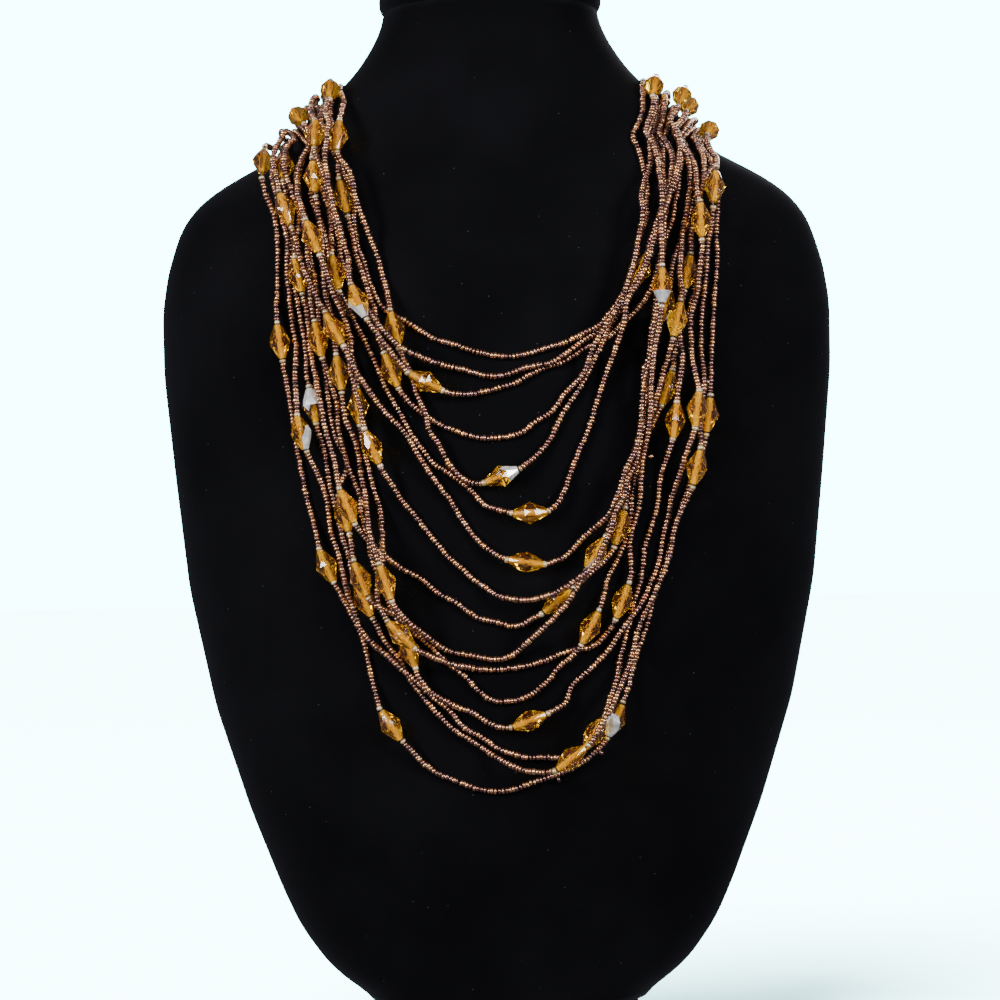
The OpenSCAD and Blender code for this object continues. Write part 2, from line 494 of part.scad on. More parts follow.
module foot() {
    color([0.07, 0.07, 0.08])
        linear_extrude(height = foot_h - seam)
            union() {
                square([foot_w - 2 * foot_r, foot_d], center = true);
                square([foot_w, foot_d - 2 * foot_r], center = true);
                for (x = [-1, 1], y = [-1, 1])
                    translate([x * (foot_w / 2 - foot_r), y * (foot_d / 2 - foot_r)])
                        circle(r = foot_r, $fn = 48);
            }
}

module clasp() {
    top = nape_z + seed_r + clasp_over;
    low = nape_height(columns - 1) - seed_r - clasp_over;
    inner = depth_at(90, top) + lay_gap;
    outline = [
        [-clasp_w / 2, inner], [clasp_w / 2, inner],
        [clasp_w / 2, inner + clasp_t - clasp_bevel], [clasp_w / 2 - clasp_bevel, inner + clasp_t],
        [clasp_bevel - clasp_w / 2, inner + clasp_t], [-clasp_w / 2, inner + clasp_t - clasp_bevel],
    ];
    color([0.5, 0.4, 0.36])
        translate([0, 0, low])
            linear_extrude(height = top - low)
                polygon(outline);
}

// Amber beads up to this many are pieces of their own, lowest on the chest first
own_beads = 38;
BEAD_Z = [for (b = BEADS) centres(b[0])[b[1]][2]];
function rank(i) = len([for (z = BEAD_Z) if (z < BEAD_Z[i]) z]);
BY_HEIGHT = [for (i = [0:len(BEADS) - 1]) rank(i)];
function two(n) = n < 10 ? str("0", n) : str(n);

bust();
neck_rim();
foot();
clasp();
for (k = [1:len(ROUTES)])
    string(k - 1);
for (i = [0:len(BEADS) - 1])
    if (BY_HEIGHT[i] < own_beads)
        amber(BEADS[i][0], BEADS[i][1], BEADS[i][2]);
for (i = [0:len(BEADS) - 1])  // upper_amber_beads
        if (BY_HEIGHT[i] >= own_beads) amber(BEADS[i][0], BEADS[i][1], BEADS[i][2]);
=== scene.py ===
# %% [markdown]
# # A multi-strand bead necklace on a velvet bust
#
# This lesson dresses a finished CAD model: sixteen strings of seed beads with
# cut amber beads between them, lying on a black velvet bust. The CAD model is
# the frame, and everything here is placed on it, in metres, with Z up and the
# wearer's front towards -Y. The strings come first, because they are the
# object; the velvet, the clasp and the light are there to show them.

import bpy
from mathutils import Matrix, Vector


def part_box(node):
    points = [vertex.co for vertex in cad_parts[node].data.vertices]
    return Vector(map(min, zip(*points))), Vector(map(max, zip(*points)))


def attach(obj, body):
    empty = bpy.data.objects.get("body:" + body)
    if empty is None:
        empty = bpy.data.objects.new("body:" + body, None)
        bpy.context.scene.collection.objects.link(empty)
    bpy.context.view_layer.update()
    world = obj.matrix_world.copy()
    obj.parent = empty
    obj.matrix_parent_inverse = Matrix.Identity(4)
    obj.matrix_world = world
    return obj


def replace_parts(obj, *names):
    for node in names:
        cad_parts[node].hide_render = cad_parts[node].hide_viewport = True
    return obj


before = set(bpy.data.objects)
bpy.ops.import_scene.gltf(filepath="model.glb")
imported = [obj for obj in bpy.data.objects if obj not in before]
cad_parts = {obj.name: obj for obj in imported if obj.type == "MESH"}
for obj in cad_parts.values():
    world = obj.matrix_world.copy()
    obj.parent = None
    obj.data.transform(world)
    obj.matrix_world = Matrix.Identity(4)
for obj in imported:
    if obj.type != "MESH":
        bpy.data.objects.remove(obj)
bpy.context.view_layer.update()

import math
import bpy
import numpy as np
from mathutils import Vector

MM = 0.001

# %% [markdown]
# ## The camera
#
# A photograph that shows nearly all of a bust, with no strong perspective, is
# usually taken from about a metre away with a short telephoto lens. One view
# from the front doesn't tell the distance, so 0.9 m is assumed. It draws the
# beads at the front a few hundredths larger than the neck further back. The
# whole picture leans by a little over a degree, so the camera is rolled rather
# than the bust.

# %% Camera in front of the chest
camera = bpy.data.objects.new("camera", bpy.data.cameras.new("camera"))
bpy.context.scene.collection.objects.link(camera)
bpy.context.scene.camera = camera
CAMERA_AWAY, CAMERA_HEIGHT = 0.9, 0.1944
camera.location = (0.0, -CAMERA_AWAY, CAMERA_HEIGHT)
camera.rotation_euler = (math.radians(90), math.radians(1.17), 0)
camera.data.sensor_width = 36
camera.data.lens = 36 * CAMERA_AWAY / 0.353
camera.data.clip_start, camera.data.clip_end = 0.05, 20
print("lens", round(camera.data.lens, 1), "mm")

# %% [markdown]
# ## Helpers for materials
#
# Each material below is a small net of nodes. Two helpers keep the nets short:
# one turns a colour as it is seen on a screen into the linear values that the
# renderer adds up, and one adds a node, sets it and links its inputs.

# %% Colour, nodes and an empty material
def linear(hex_colour):
    parts = [int(hex_colour[i:i + 2], 16) / 255 for i in (1, 3, 5)]
    return [c / 12.92 if c <= 0.04045 else ((c + 0.055) / 1.055) ** 2.4 for c in parts] + [1.0]

def add(material, kind, links=None, **settings):
    """A node in the material. links: {input: (node, output) or value}."""
    node = material.node_tree.nodes.new("ShaderNode" + kind)
    for name, value in settings.items():
        setattr(node, name, value)
    for name, source in (links or {}).items():
        if isinstance(source, tuple) and isinstance(source[0], bpy.types.Node):
            material.node_tree.links.new(source[0].outputs[source[1]], node.inputs[name])
        else:
            node.inputs[name].default_value = source
    return node

def start_material(name):
    material = bpy.data.materials.new(name)
    material.use_nodes = True
    material.node_tree.nodes.clear()
    return material

def finish_material(material, shader):
    out = add(material, "OutputMaterial")
    material.node_tree.links.new(shader.outputs[0], out.inputs["Surface"])
    return material

def colour_steps(ramp, steps):
    """Sets a colour ramp to [(place, hex colour), ...]."""
    marks = ramp.color_ramp.elements
    while len(marks) < len(steps):
        marks.new(1.0)
    for mark, (place, hex_colour) in zip(marks, steps):
        mark.position, mark.color = place, linear(hex_colour)
    return ramp

print("white is", linear("#ffffff"), "and mid grey", round(linear("#808080")[0], 3))

# %% [markdown]
# ## Glass seed beads with a metallic coat
#
# Seed beads of this size, about 2 mm across, are cut from drawn glass tube and
# tumbled hot until their edges are round. A thin metal-oxide coat is fired on,
# which gives the plum-bronze colour. The eye gets one or two small bright
# highlights a bead, pinkish gold, and dark plum wherever the bead turns away.
# The coat hides the glass, so the shader is a metal of the coat's colour, with
# a thin clear layer for the glassy shine on top. The coat is never even, so
# each bead carries a number of its own, its tone, and the material reads that
# number to pick the bead's colour and roughness.

# %% Material: metal-oxide coated seed bead
def coated_bead_material():
    m = start_material("seed_bead_glass_bronze_oxide_coat")
    tone = add(m, "Attribute", attribute_name="bead_tone")
    colour = colour_steps(add(m, "ValToRGB", {"Fac": (tone, "Fac")}), [
        (0.0, "#4f322d"), (0.25, "#7a5043"), (0.5, "#96684c"), (0.75, "#b58758"), (1.0, "#6b4850")])
    polish = add(m, "MapRange", {"Value": (tone, "Fac"), "To Min": 0.3, "To Max": 0.17})
    # dents from tumbling, about 0.6 mm apart, and pits in the coat, about 0.15 mm apart
    place = add(m, "TexCoord")
    dents = add(m, "TexNoise", {"Vector": (place, "Object"), "Scale": 1 / (1.2 * MM), "Detail": 1.0})
    pits = add(m, "TexNoise", {"Vector": (place, "Object"), "Scale": 1 / (0.3 * MM), "Detail": 2.0})
    uneven = add(m, "Bump", {"Height": (dents, "Fac"), "Strength": 0.6, "Distance": 0.25 * MM})
    bump = add(m, "Bump", {"Height": (pits, "Fac"), "Strength": 0.3, "Distance": 0.06 * MM,
                           "Normal": (uneven, "Normal")})
    return finish_material(m, add(m, "BsdfPrincipled", {
        "Base Color": (colour, "Color"), "Roughness": (polish, "Result"),
        "Normal": (bump, "Normal"), "Metallic": 0.92,
        "Coat Weight": 0.6, "Coat Roughness": 0.05}))

bead_coat = coated_bead_material()
print("material", bead_coat.name)

# %% [markdown]
# ## Pale lined seed beads
#
# At either end of each amber bead sits one seed bead of clear champagne glass
# with a silver lining. It looks paler and softer than its neighbours, because
# the light goes through the glass to the lining and back. At this size the two
# are drawn as one surface: half metal, half glass, under a clear layer.

# %% Material: champagne glass over a silver lining
def lined_bead_material():
    m = start_material("seed_bead_glass_champagne_lined")
    tone = add(m, "Attribute", attribute_name="bead_tone")
    colour = colour_steps(add(m, "ValToRGB", {"Fac": (tone, "Fac")}), [
        (0.0, "#85704e"), (0.5, "#9c8766"), (1.0, "#b3a083")])
    return finish_material(m, add(m, "BsdfPrincipled", {
        "Base Color": (colour, "Color"), "Metallic": 0.45, "Roughness": 0.28, "IOR": 1.52,
        "Coat Weight": 0.8, "Coat Roughness": 0.04}))

bead_lined = lined_bead_material()
print("material", bead_lined.name)

# %% [markdown]
# ## Beading thread
#
# The strings run on a thin waxed nylon thread. Only glints of it show, where
# two beads part on a bend, so it is a dark satin line and no more.

# %% Material: waxed nylon thread
def thread_material():
    m = start_material("nylon_thread_waxed")
    place = add(m, "TexCoord")
    # plies of a twisted thread, about 0.25 mm apart
    plies = add(m, "TexNoise", {"Vector": (place, "Object"), "Scale": 1 / (0.5 * MM)})
    colour = colour_steps(add(m, "ValToRGB", {"Fac": (plies, "Fac")}), [
        (0.3, "#2a1c1e"), (0.7, "#4a3634")])
    return finish_material(m, add(m, "BsdfPrincipled", {
        "Base Color": (colour, "Color"), "Roughness": 0.45, "IOR": 1.53}))

thread_nylon = thread_material()
print("material", thread_nylon.name)

# %% [markdown]
# ## The shape that the strings lie on
#
# Display busts are turned or cast over a core and covered in velvet. Seen from
# above, each section of this one is close to two half ellipses, one for the
# chest and one for the back, that meet at the sides. A short table of sections
# gives the width and both depths at each height, and everything else, velvet
# and strings alike, asks the table where the surface is and which way it
# faces. It is the same table as in the CAD source, so the two agree.

# %% Sections of the bust
FOOT_TOP, NECK_TOP = 20 * MM, 366 * MM
HALF_WIDTH, CHEST, BACK = 118 * MM, 52 * MM, 33 * MM
# share of the height from the foot to the neck, then shares of the half width,
# the chest's depth and the back's depth
SECTIONS = np.array([
    (0.000, 0.394, 0.63, 0.94), (0.012, 0.452, 0.65, 0.95), (0.035, 0.536, 0.69, 0.97),
    (0.075, 0.620, 0.74, 0.97), (0.115, 0.673, 0.79, 0.95), (0.195, 0.763, 0.87, 0.91),
    (0.300, 0.860, 0.94, 0.85), (0.420, 0.932, 0.99, 0.79), (0.530, 0.966, 1.00, 0.76),
    (0.635, 0.995, 0.98, 0.76), (0.700, 0.996, 0.95, 0.79), (0.740, 0.978, 0.92, 0.82),
    (0.780, 0.941, 0.88, 0.86), (0.800, 0.907, 0.86, 0.88), (0.817, 0.852, 0.84, 0.90),
    (0.827, 0.810, 0.83, 0.91), (0.837, 0.755, 0.81, 0.92), (0.848, 0.690, 0.80, 0.94),
    (0.857, 0.636, 0.79, 0.95), (0.887, 0.573, 0.74, 0.98), (0.920, 0.466, 0.69, 1.00),
    (0.934, 0.420, 0.68, 1.00), (0.954, 0.377, 0.66, 1.00), (0.976, 0.338, 0.64, 0.99),
    (1.000, 0.316, 0.63, 0.98)])
HEIGHTS = FOOT_TOP + SECTIONS[:, 0] * (NECK_TOP - FOOT_TOP)

def half_width(z):
    return np.interp(z, HEIGHTS, SECTIONS[:, 1] * HALF_WIDTH)

def depth(angle, z):
    front = np.interp(z, HEIGHTS, SECTIONS[:, 2] * CHEST)
    behind = np.interp(z, HEIGHTS, SECTIONS[:, 3] * BACK)
    return np.where(np.sin(angle) < 0, front, behind)

def on_bust(angle, z):
    """Points of the surface. The angle runs from 90 degrees at the nape to 270 at the chest."""
    angle, z = np.asarray(angle, float), np.asarray(z, float)
    return np.stack([half_width(z) * np.cos(angle), depth(angle, z) * np.sin(angle), z], -1)

def out_of_bust(angle, z):
    """Directions straight out of the surface there."""
    angle, z = np.asarray(angle, float), np.asarray(z, float)
    reach = 6 * MM
    c, s = np.cos(angle), np.sin(angle)
    w, d = half_width(z), depth(angle, z)
    dw = (half_width(z + reach) - half_width(z - reach)) / (2 * reach)
    dd = (depth(angle, z + reach) - depth(angle, z - reach)) / (2 * reach)
    n = np.stack([d * c, w * s, -(w * dd * s * s + d * dw * c * c)], -1)
    return n / np.linalg.norm(n, axis=-1, keepdims=True)

print("widest", round(2 * half_width(0.26) / MM), "mm; neck", round(2 * half_width(0.36) / MM), "mm")

# %% [markdown]
# ## The way of each string
#
# The strings were drawn over a photograph as short lists of points, 26 to 44 a
# string: across, up, and a third number where an amber bead sits, which is 2
# for a silvered one. They are the same points as in the CAD source. Points
# that only mark a bend would be enough for plain beads, but the strings here
# kink and wander a little, and that is what makes them look strung by hand.
# Over the shoulders, where they lie crowded and steep, the points don't follow
# the photograph: there the strings lie side by side, one to two and a half
# millimetres apart.

# %% Points of the sixteen strings, in metres
ROUTES = [
    [(-.058, .333), (-.055, .3165), (-.051, .3055), (-.046, .2785), (-.0425, .268),
     (-.0375, .2585), (-.0315, .255), (-.0235, .25), (-.0185, .2475), (-.0115, .2455),
     (-.0055, .2435), (.0015, .242), (.0075, .2425), (.0145, .244), (.022, .246), (.029, .249),
     (.035, .252), (.0395, .258), (.042, .262), (.045, .2695), (.0475, .2795), (.0505, .2865),
     (.0525, .295), (.051, .308), (.05, .32), (.0535, .3375)],
    [(-.0595, .3315), (-.0575, .321), (-.057, .3145, 1), (-.0555, .302), (-.053, .2855),
     (-.052, .276), (-.0445, .261), (-.036, .2495), (-.032, .246), (-.0255, .2425), (-.0175, .239),
     (-.0115, .2375), (-.0025, .236), (.001, .236), (.01, .238), (.0195, .24), (.024, .2435),
     (.029, .247), (.0355, .251), (.0385, .2545), (.0445, .262), (.049, .2695, 1), (.052, .2795),
     (.056, .288), (.0595, .295), (.0635, .3095), (.065, .324), (.0668, .327, 1)],
    [(-.0525, .3335, 1), (-.0525, .321), (-.052, .314), (-.054, .3055), (-.0525, .2935),
     (-.05, .282), (-.048, .271), (-.0445, .26, 2), (-.04, .2515), (-.0345, .2435), (-.031, .239),
     (-.024, .2335, 1), (-.017, .2305), (-.0115, .23), (-.0055, .2305), (.001, .2315),
     (.007, .2335), (.011, .236), (.0165, .2385), (.0215, .2395), (.025, .2415), (.03, .2445),
     (.035, .2465), (.0385, .2485), (.043, .2525), (.05, .2615), (.054, .272), (.056, .285),
     (.057, .3), (.055, .316), (.058, .333)],
    [(-.0565, .3345), (-.053, .318), (-.052, .307), (-.05, .296, 1), (-.048, .2845),
     (-.0455, .273), (-.043, .2655), (-.0405, .2565), (-.039, .248), (-.0355, .238, 1),
     (-.031, .229), (-.023, .222), (-.019, .2195), (-.014, .2175), (-.009, .216), (-.003, .215),
     (.0035, .2155), (.008, .217), (.013, .22), (.016, .222), (.0225, .229), (.0255, .2325),
     (.0285, .236), (.032, .244), (.0365, .2525), (.042, .2615), (.045, .271), (.048, .284),
     (.05, .298), (.053, .317), (.0565, .3345)],
    [(-.0535, .3375), (-.05, .326), (-.0505, .3145, 1), (-.0465, .3), (-.0435, .288), (-.04, .276),
     (-.0375, .268), (-.0355, .2605), (-.034, .2515, 1), (-.0315, .243), (-.0295, .238),
     (-.0275, .231), (-.0245, .224), (-.023, .218), (-.0205, .214), (-.017, .207), (-.015, .2045),
     (-.0115, .2015), (-.0065, .2), (.001, .2025, 2), (.009, .206), (.0135, .21), (.0175, .215),
     (.0205, .2205), (.026, .2285), (.031, .237), (.0345, .245), (.0405, .256), (.044, .2615),
     (.049, .272), (.0535, .285), (.058, .298), (.057, .3145), (.0595, .3315)],
    [(-.062, .3285), (-.0605, .3125), (-.06, .3075), (-.057, .2955), (-.055, .2815),
     (-.0535, .271, 1), (-.0505, .2615), (-.048, .255), (-.045, .249), (-.0415, .2415),
     (-.0375, .232), (-.0325, .223), (-.0275, .2135), (-.022, .207), (-.0155, .203),
     (-.0095, .1975), (-.0065, .194), (.001, .1905), (.01, .1885, 1), (.0175, .1915), (.021, .196),
     (.0245, .204), (.0285, .2135), (.0325, .2235), (.035, .231), (.0375, .238), (.041, .251),
     (.0425, .258), (.046, .264), (.051, .276), (.0555, .289), (.06, .302), (.06, .312),
     (.061, .3275, 1)],
    [(-.071, .319), (-.0725, .3045), (-.0685, .2915, 1), (-.0655, .2805), (-.0635, .274),
     (-.0585, .2625), (-.053, .2515, 1), (-.0485, .2435), (-.0445, .2355), (-.0385, .2255),
     (-.0325, .218), (-.0265, .2095), (-.021, .2005), (-.0165, .1935), (-.012, .1865),
     (-.0065, .1805), (0, .1755), (.008, .173, 1), (.016, .173), (.02, .1745), (.03, .184),
     (.035, .189), (.0385, .196), (.041, .2035), (.045, .211), (.0465, .222), (.0485, .2335),
     (.051, .247), (.052, .2545), (.0545, .2705), (.0565, .2815), (.0585, .2935), (.059, .3055),
     (.0585, .313), (.0605, .33)],
    [(-.0645, .3255, 1), (-.0645, .31), (-.0655, .3), (-.062, .289), (-.0585, .2815, 1),
     (-.0555, .272), (-.052, .26), (-.0485, .249), (-.048, .238), (-.0455, .228), (-.044, .2205),
     (-.0415, .2125, 1), (-.037, .202), (-.0325, .1945), (-.028, .1885), (-.023, .182),
     (-.0175, .176), (-.0085, .1675), (-.0025, .163), (.003, .162), (.012, .1625), (.016, .1635),
     (.023, .167), (.0275, .1705), (.0315, .176), (.034, .1825), (.0395, .1945), (.042, .201),
     (.0455, .208), (.0475, .2175), (.0495, .2365), (.0515, .2505), (.053, .2605), (.056, .274),
     (.0595, .2835), (.062, .2935), (.0625, .3105), (.0635, .327)],
    [(-.0695, .3205), (-.0695, .305), (-.066, .294), (-.067, .281), (-.066, .2705, 1),
     (-.0645, .261), (-.064, .2545), (-.0625, .2435), (-.0605, .2355), (-.058, .2255),
     (-.056, .2155), (-.053, .204), (-.049, .1935, 1), (-.0445, .1835), (-.0395, .178),
     (-.0335, .1725), (-.0275, .169), (-.0215, .1635), (-.0145, .16), (-.007, .155), (-.002, .154),
     (.004, .1525), (.011, .155), (.0185, .1605, 1), (.026, .1665), (.0305, .17), (.036, .175),
     (.0395, .1845, 1), (.043, .197), (.0445, .204), (.0465, .212), (.049, .2225), (.052, .234),
     (.0535, .245), (.0565, .2585, 1), (.0605, .2725), (.0655, .287), (.068, .2945), (.0735, .302),
     (.0725, .3175)],
    [(-.0605, .33), (-.0585, .314), (-.0595, .302, 1), (-.058, .285), (-.056, .27), (-.055, .258),
     (-.054, .247), (-.052, .2375, 1), (-.0505, .2245), (-.048, .2155), (-.047, .2065),
     (-.0445, .1955), (-.042, .1855), (-.04, .178), (-.037, .1685, 1), (-.033, .1595),
     (-.025, .1495), (-.0195, .1455), (-.0135, .1435), (-.009, .142), (-.004, .1415),
     (.002, .1425), (.008, .147), (.0145, .1535), (.019, .1585), (.0255, .167), (.031, .176, 2),
     (.036, .1855), (.038, .192), (.043, .204), (.049, .218), (.0525, .2285), (.055, .238),
     (.057, .245), (.0585, .2525, 2), (.0605, .262), (.061, .271), (.0645, .288), (.0655, .308),
     (.0665, .324)],
    [(-.0635, .327), (-.062, .311), (-.0595, .29), (-.056, .275), (-.052, .26), (-.0495, .245),
     (-.0475, .2365), (-.0465, .2265, 1), (-.046, .215), (-.043, .201), (-.0405, .1925),
     (-.039, .183), (-.039, .171), (-.04, .163), (-.038, .1575), (-.033, .151, 1), (-.026, .145),
     (-.015, .14), (-.0075, .1385), (-.001, .138), (.006, .1385), (.0155, .1415), (.0245, .144),
     (.0295, .145), (.036, .151), (.04, .16, 1), (.043, .169), (.0435, .1785), (.0465, .1935),
     (.047, .2), (.049, .217), (.0495, .225), (.0505, .24), (.0525, .253), (.0535, .263, 2),
     (.0535, .2745), (.0535, .2855), (.0545, .3035), (.052, .319), (.0535, .333, 1)],
    [(-.068, .322), (-.068, .3065), (-.066, .294), (-.063, .28), (-.06, .255), (-.0575, .23),
     (-.055, .216), (-.0515, .206), (-.0535, .1995), (-.052, .1905, 1), (-.049, .181),
     (-.046, .1695, 1), (-.0405, .1605), (-.0345, .157), (-.031, .153), (-.0275, .149),
     (-.0205, .142), (-.0165, .139), (-.012, .135), (-.007, .1295), (-.003, .127), (.0005, .127),
     (.009, .1295), (.0155, .1345), (.018, .138), (.024, .143), (.0295, .1515, 1), (.0335, .161),
     (.035, .166), (.0395, .1735), (.044, .1875), (.045, .196), (.048, .2085), (.0535, .222),
     (.057, .2305, 1), (.06, .242), (.065, .256), (.0685, .2665), (.071, .282), (.0705, .296),
     (.0695, .305), (.0695, .3205)],
    [(-.0665, .324), (-.066, .308), (-.063, .285), (-.0615, .266), (-.061, .2585),
     (-.0595, .249, 1), (-.057, .2395), (-.055, .228), (-.0535, .218), (-.051, .208),
     (-.0475, .197), (-.047, .1905), (-.044, .1775), (-.039, .163), (-.035, .154),
     (-.031, .1455, 1), (-.028, .1365), (-.0235, .1305), (-.0165, .1265), (-.012, .1245),
     (-.007, .121), (-.0025, .119), (.002, .119), (.0085, .121, 1), (.016, .124), (.02, .1265),
     (.023, .132), (.0285, .1365), (.0345, .1425), (.0385, .1485), (.042, .153), (.0465, .1595),
     (.0535, .173), (.0555, .1825), (.059, .199), (.0615, .21), (.0635, .223, 1), (.0645, .243),
     (.0665, .2615), (.0675, .272), (.068, .285, 1), (.0675, .297), (.068, .3065), (.068, .322)],
    [(-.0745, .3155), (-.0755, .301), (-.0715, .288), (-.0705, .2695), (-.069, .2525),
     (-.0675, .2425), (-.0665, .227), (-.065, .218, 2), (-.062, .2085), (-.0595, .1975),
     (-.0565, .182), (-.0535, .172), (-.0495, .161), (-.046, .1525), (-.0385, .143), (-.033, .138),
     (-.026, .1315), (-.018, .124), (-.0145, .1195), (-.008, .1155), (-.0005, .1105), (.004, .109),
     (.013, .1085), (.018, .1085), (.0235, .11), (.0295, .117, 1), (.034, .1255), (.038, .134),
     (.04, .142), (.042, .15), (.047, .166), (.0495, .181), (.0535, .192), (.0545, .2015),
     (.0565, .2105), (.058, .2195, 1), (.0605, .238), (.062, .258), (.065, .269, 1), (.066, .281),
     (.0685, .293), (.0715, .3035), (.071, .319)],
    [(-.0725, .3175), (-.0715, .308, 1), (-.071, .299), (-.07, .286), (-.0685, .2665),
     (-.067, .259), (-.0655, .249), (-.0645, .2395), (-.062, .2275, 2), (-.0595, .213),
     (-.057, .198), (-.0525, .1795), (-.05, .171), (-.046, .162, 1), (-.0415, .152), (-.039, .147),
     (-.0345, .1405), (-.032, .1355), (-.0285, .1305), (-.0235, .1245), (-.016, .1175),
     (-.0115, .114), (-.0045, .11), (.0025, .1065), (.0075, .105), (.0135, .1055), (.021, .11, 1),
     (.028, .1165), (.0315, .1225), (.036, .129), (.0425, .142), (.0475, .155), (.0545, .1695),
     (.059, .186), (.0635, .204, 1), (.0675, .226), (.0695, .248), (.0725, .2825), (.073, .296, 1),
     (.0745, .305), (.073, .3175, 1)],
    [(-.076, .3145), (-.077, .3065, 1), (-.075, .294), (-.0745, .28), (-.074, .258),
     (-.073, .249, 1), (-.071, .2325), (-.07, .2225), (-.067, .203), (-.063, .1875),
     (-.059, .1735, 1), (-.0535, .163), (-.048, .1495), (-.0455, .1395), (-.043, .13),
     (-.0385, .12, 1), (-.032, .112), (-.027, .1065), (-.019, .1015), (-.009, .098),
     (-.004, .0975), (.003, .098), (.011, .1), (.0195, .103), (.027, .107), (.031, .1105),
     (.037, .1205, 2), (.042, .131), (.044, .1385), (.048, .149), (.053, .165), (.059, .183),
     (.064, .197), (.0675, .206), (.0705, .2215, 1), (.073, .2435), (.0755, .27), (.077, .292),
     (.077, .301), (.0755, .3145)],
]
print(len(ROUTES), "strings,", sum(len(r) for r in ROUTES), "points,",
      sum(len(p) > 2 for r in ROUTES for p in r), "amber beads")

# %% [markdown]
# ## From points to a smooth line
#
# Each point is turned into an angle round the bust and a height, because a
# curve in those two stays on the surface by itself. The curve runs through
# every point, with a slope at each that is weighted by the distances to its
# neighbours, so close points don't make it overshoot. At the nape the strings
# run level to the clasp, in eight places one below the other.

# %% Control points with the run round the nape
NAPE_Z, NAPE_PITCH, CLASP_HALF, END_GAP = 337 * MM, 2.6 * MM, 6 * MM, 0.15 * MM
NAPE_RIGHT = [1, 2, 0, 1, 0, 3, 6, 4, 5, 2, 3, 5, 4, 7, 6, 7]
NAPE_LEFT = [0, 4, 1, 1, 2, 3, 2, 3, 6, 4, 0, 5, 5, 6, 7, 7]
USUAL_LIFT = 2 * MM

def front_angle(x, z):
    return math.tau - math.acos(max(-1.0, min(1.0, x / (half_width(z) + USUAL_LIFT))))

def control(k):
    """Rows of [angle, height, bead] for string k, from the clasp round to the clasp."""
    right, left = NAPE_Z - NAPE_PITCH * NAPE_RIGHT[k], NAPE_Z - NAPE_PITCH * NAPE_LEFT[k]
    beside = [math.asin((CLASP_HALF + END_GAP) / half_width(z)) for z in (right, left)]
    start = [math.radians(90) + beside[0]] + [math.radians(a) for a in (110, 130, 150)]
    end = [math.radians(a) for a in (390, 410, 430)] + [math.radians(450) - beside[1]]
    chest = [(front_angle(p[0], p[1]), p[1], p[2] if len(p) > 2 else 0) for p in ROUTES[k]]
    return np.array([(a, right, 0) for a in start] + chest + [(a, left, 0) for a in end])

print("string 1 has", len(control(0)), "control points")

# %% Smooth curve through them
def smooth_line(rows):
    """Distances of the rows along the line, and a function from distance to [angle, height]."""
    steps = np.linalg.norm(np.diff(on_bust(rows[:, 0], rows[:, 1]), axis=0), axis=1)
    at, flat = np.concatenate([[0], np.cumsum(steps)]), rows[:, :2]
    rise = np.diff(flat, axis=0) / steps[:, None]
    inner = (steps[1:, None] * rise[:-1] + steps[:-1, None] * rise[1:]) / (at[2:] - at[:-2])[:, None]
    slope = np.vstack([rise[:1], inner, rise[-1:]])

    def line(q):
        i = np.clip(np.searchsorted(at, q) - 1, 0, len(steps) - 1)
        h = steps[i][:, None]
        u = np.clip((q[:, None] - at[i][:, None]) / h, 0, 1)
        return ((2 * u**3 - 3 * u**2 + 1) * flat[i] + (u**3 - 2 * u**2 + u) * h * slope[i]
                + (3 * u**2 - 2 * u**3) * flat[i + 1] + (u**3 - u**2) * h * slope[i + 1])
    return at, line

print("string 1 is about", round(smooth_line(control(0))[0][-1] / MM), "mm long")

# %% [markdown]
# ## How high each string lies
#
# Where strings cross, one climbs over the other. The CAD model has worked that
# out: each of its tubes is a chain of straight steps, and the ends of the
# steps stand off the bust by about the height that clears what is below. So
# the height isn't worked out again here. For each step's end this looks along
# the line straight out of the bust, takes the tube's corners round that line,
# and reads their mean height. Between the ends the drawn line stays a curve
# where the tube is straight, and it is rounded off and wanders a little. So
# the beads are not quite where their solids are: the line is 0.4 mm off the
# middle of the tube on average, and 2.7 mm at worst.

# %% Read the heights back from the CAD tubes
AMBER_LENGTH, AMBER_END, STEP = 11.4 * MM, 2.4 * MM, 13.5 * MM
TUBE_REACH = 1.2 * MM

def step_ends(rows, at):
    """Where the tube's steps end: runs between amber beads in equal steps, each bead one step."""
    half = AMBER_LENGTH / 2 + END_GAP
    beads = at[rows[:, 2] > 0]
    starts, stops = np.concatenate([[0], beads + half]), np.concatenate([beads - half, [at[-1]]])
    ends = []
    for start, stop in zip(starts, stops):
        ends += list(np.linspace(start, stop, max(1, math.ceil((stop - start) / STEP)) + 1))
    return np.array(ends), beads

def heights_of(k, ends, line):
    """Heights of string k's tube over the bust at its step ends."""
    corners = np.array([v.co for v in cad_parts["string_%02d" % (k + 1)].data.vertices])
    place = line(ends)
    feet, out = on_bust(*place.T), out_of_bust(*place.T)
    heights = []
    for foot, n in zip(feet, out):
        up = (corners - foot) @ n
        aside = np.linalg.norm(corners - foot - up[:, None] * n, axis=1)
        near = up[aside < TUBE_REACH]
        heights.append(near.mean() if len(near) else np.nan)
    heights = np.array(heights)
    found = ~np.isnan(heights)
    return np.interp(ends, ends[found], heights[found]), int(found.sum())

STRINGS = []
for k in range(len(ROUTES)):
    rows = control(k)
    at, line = smooth_line(rows)
    ends, bead_places = step_ends(rows, at)
    heights, found = heights_of(k, ends, line)
    kinds = rows[rows[:, 2] > 0, 2]
    STRINGS.append(dict(line=line, ends=ends, heights=heights, beads=bead_places, kinds=kinds,
                        long=at[-1]))
    print("string", k + 1, "found", found, "of", len(ends), "heights, highest",
          round(heights.max() / MM, 1), "mm")

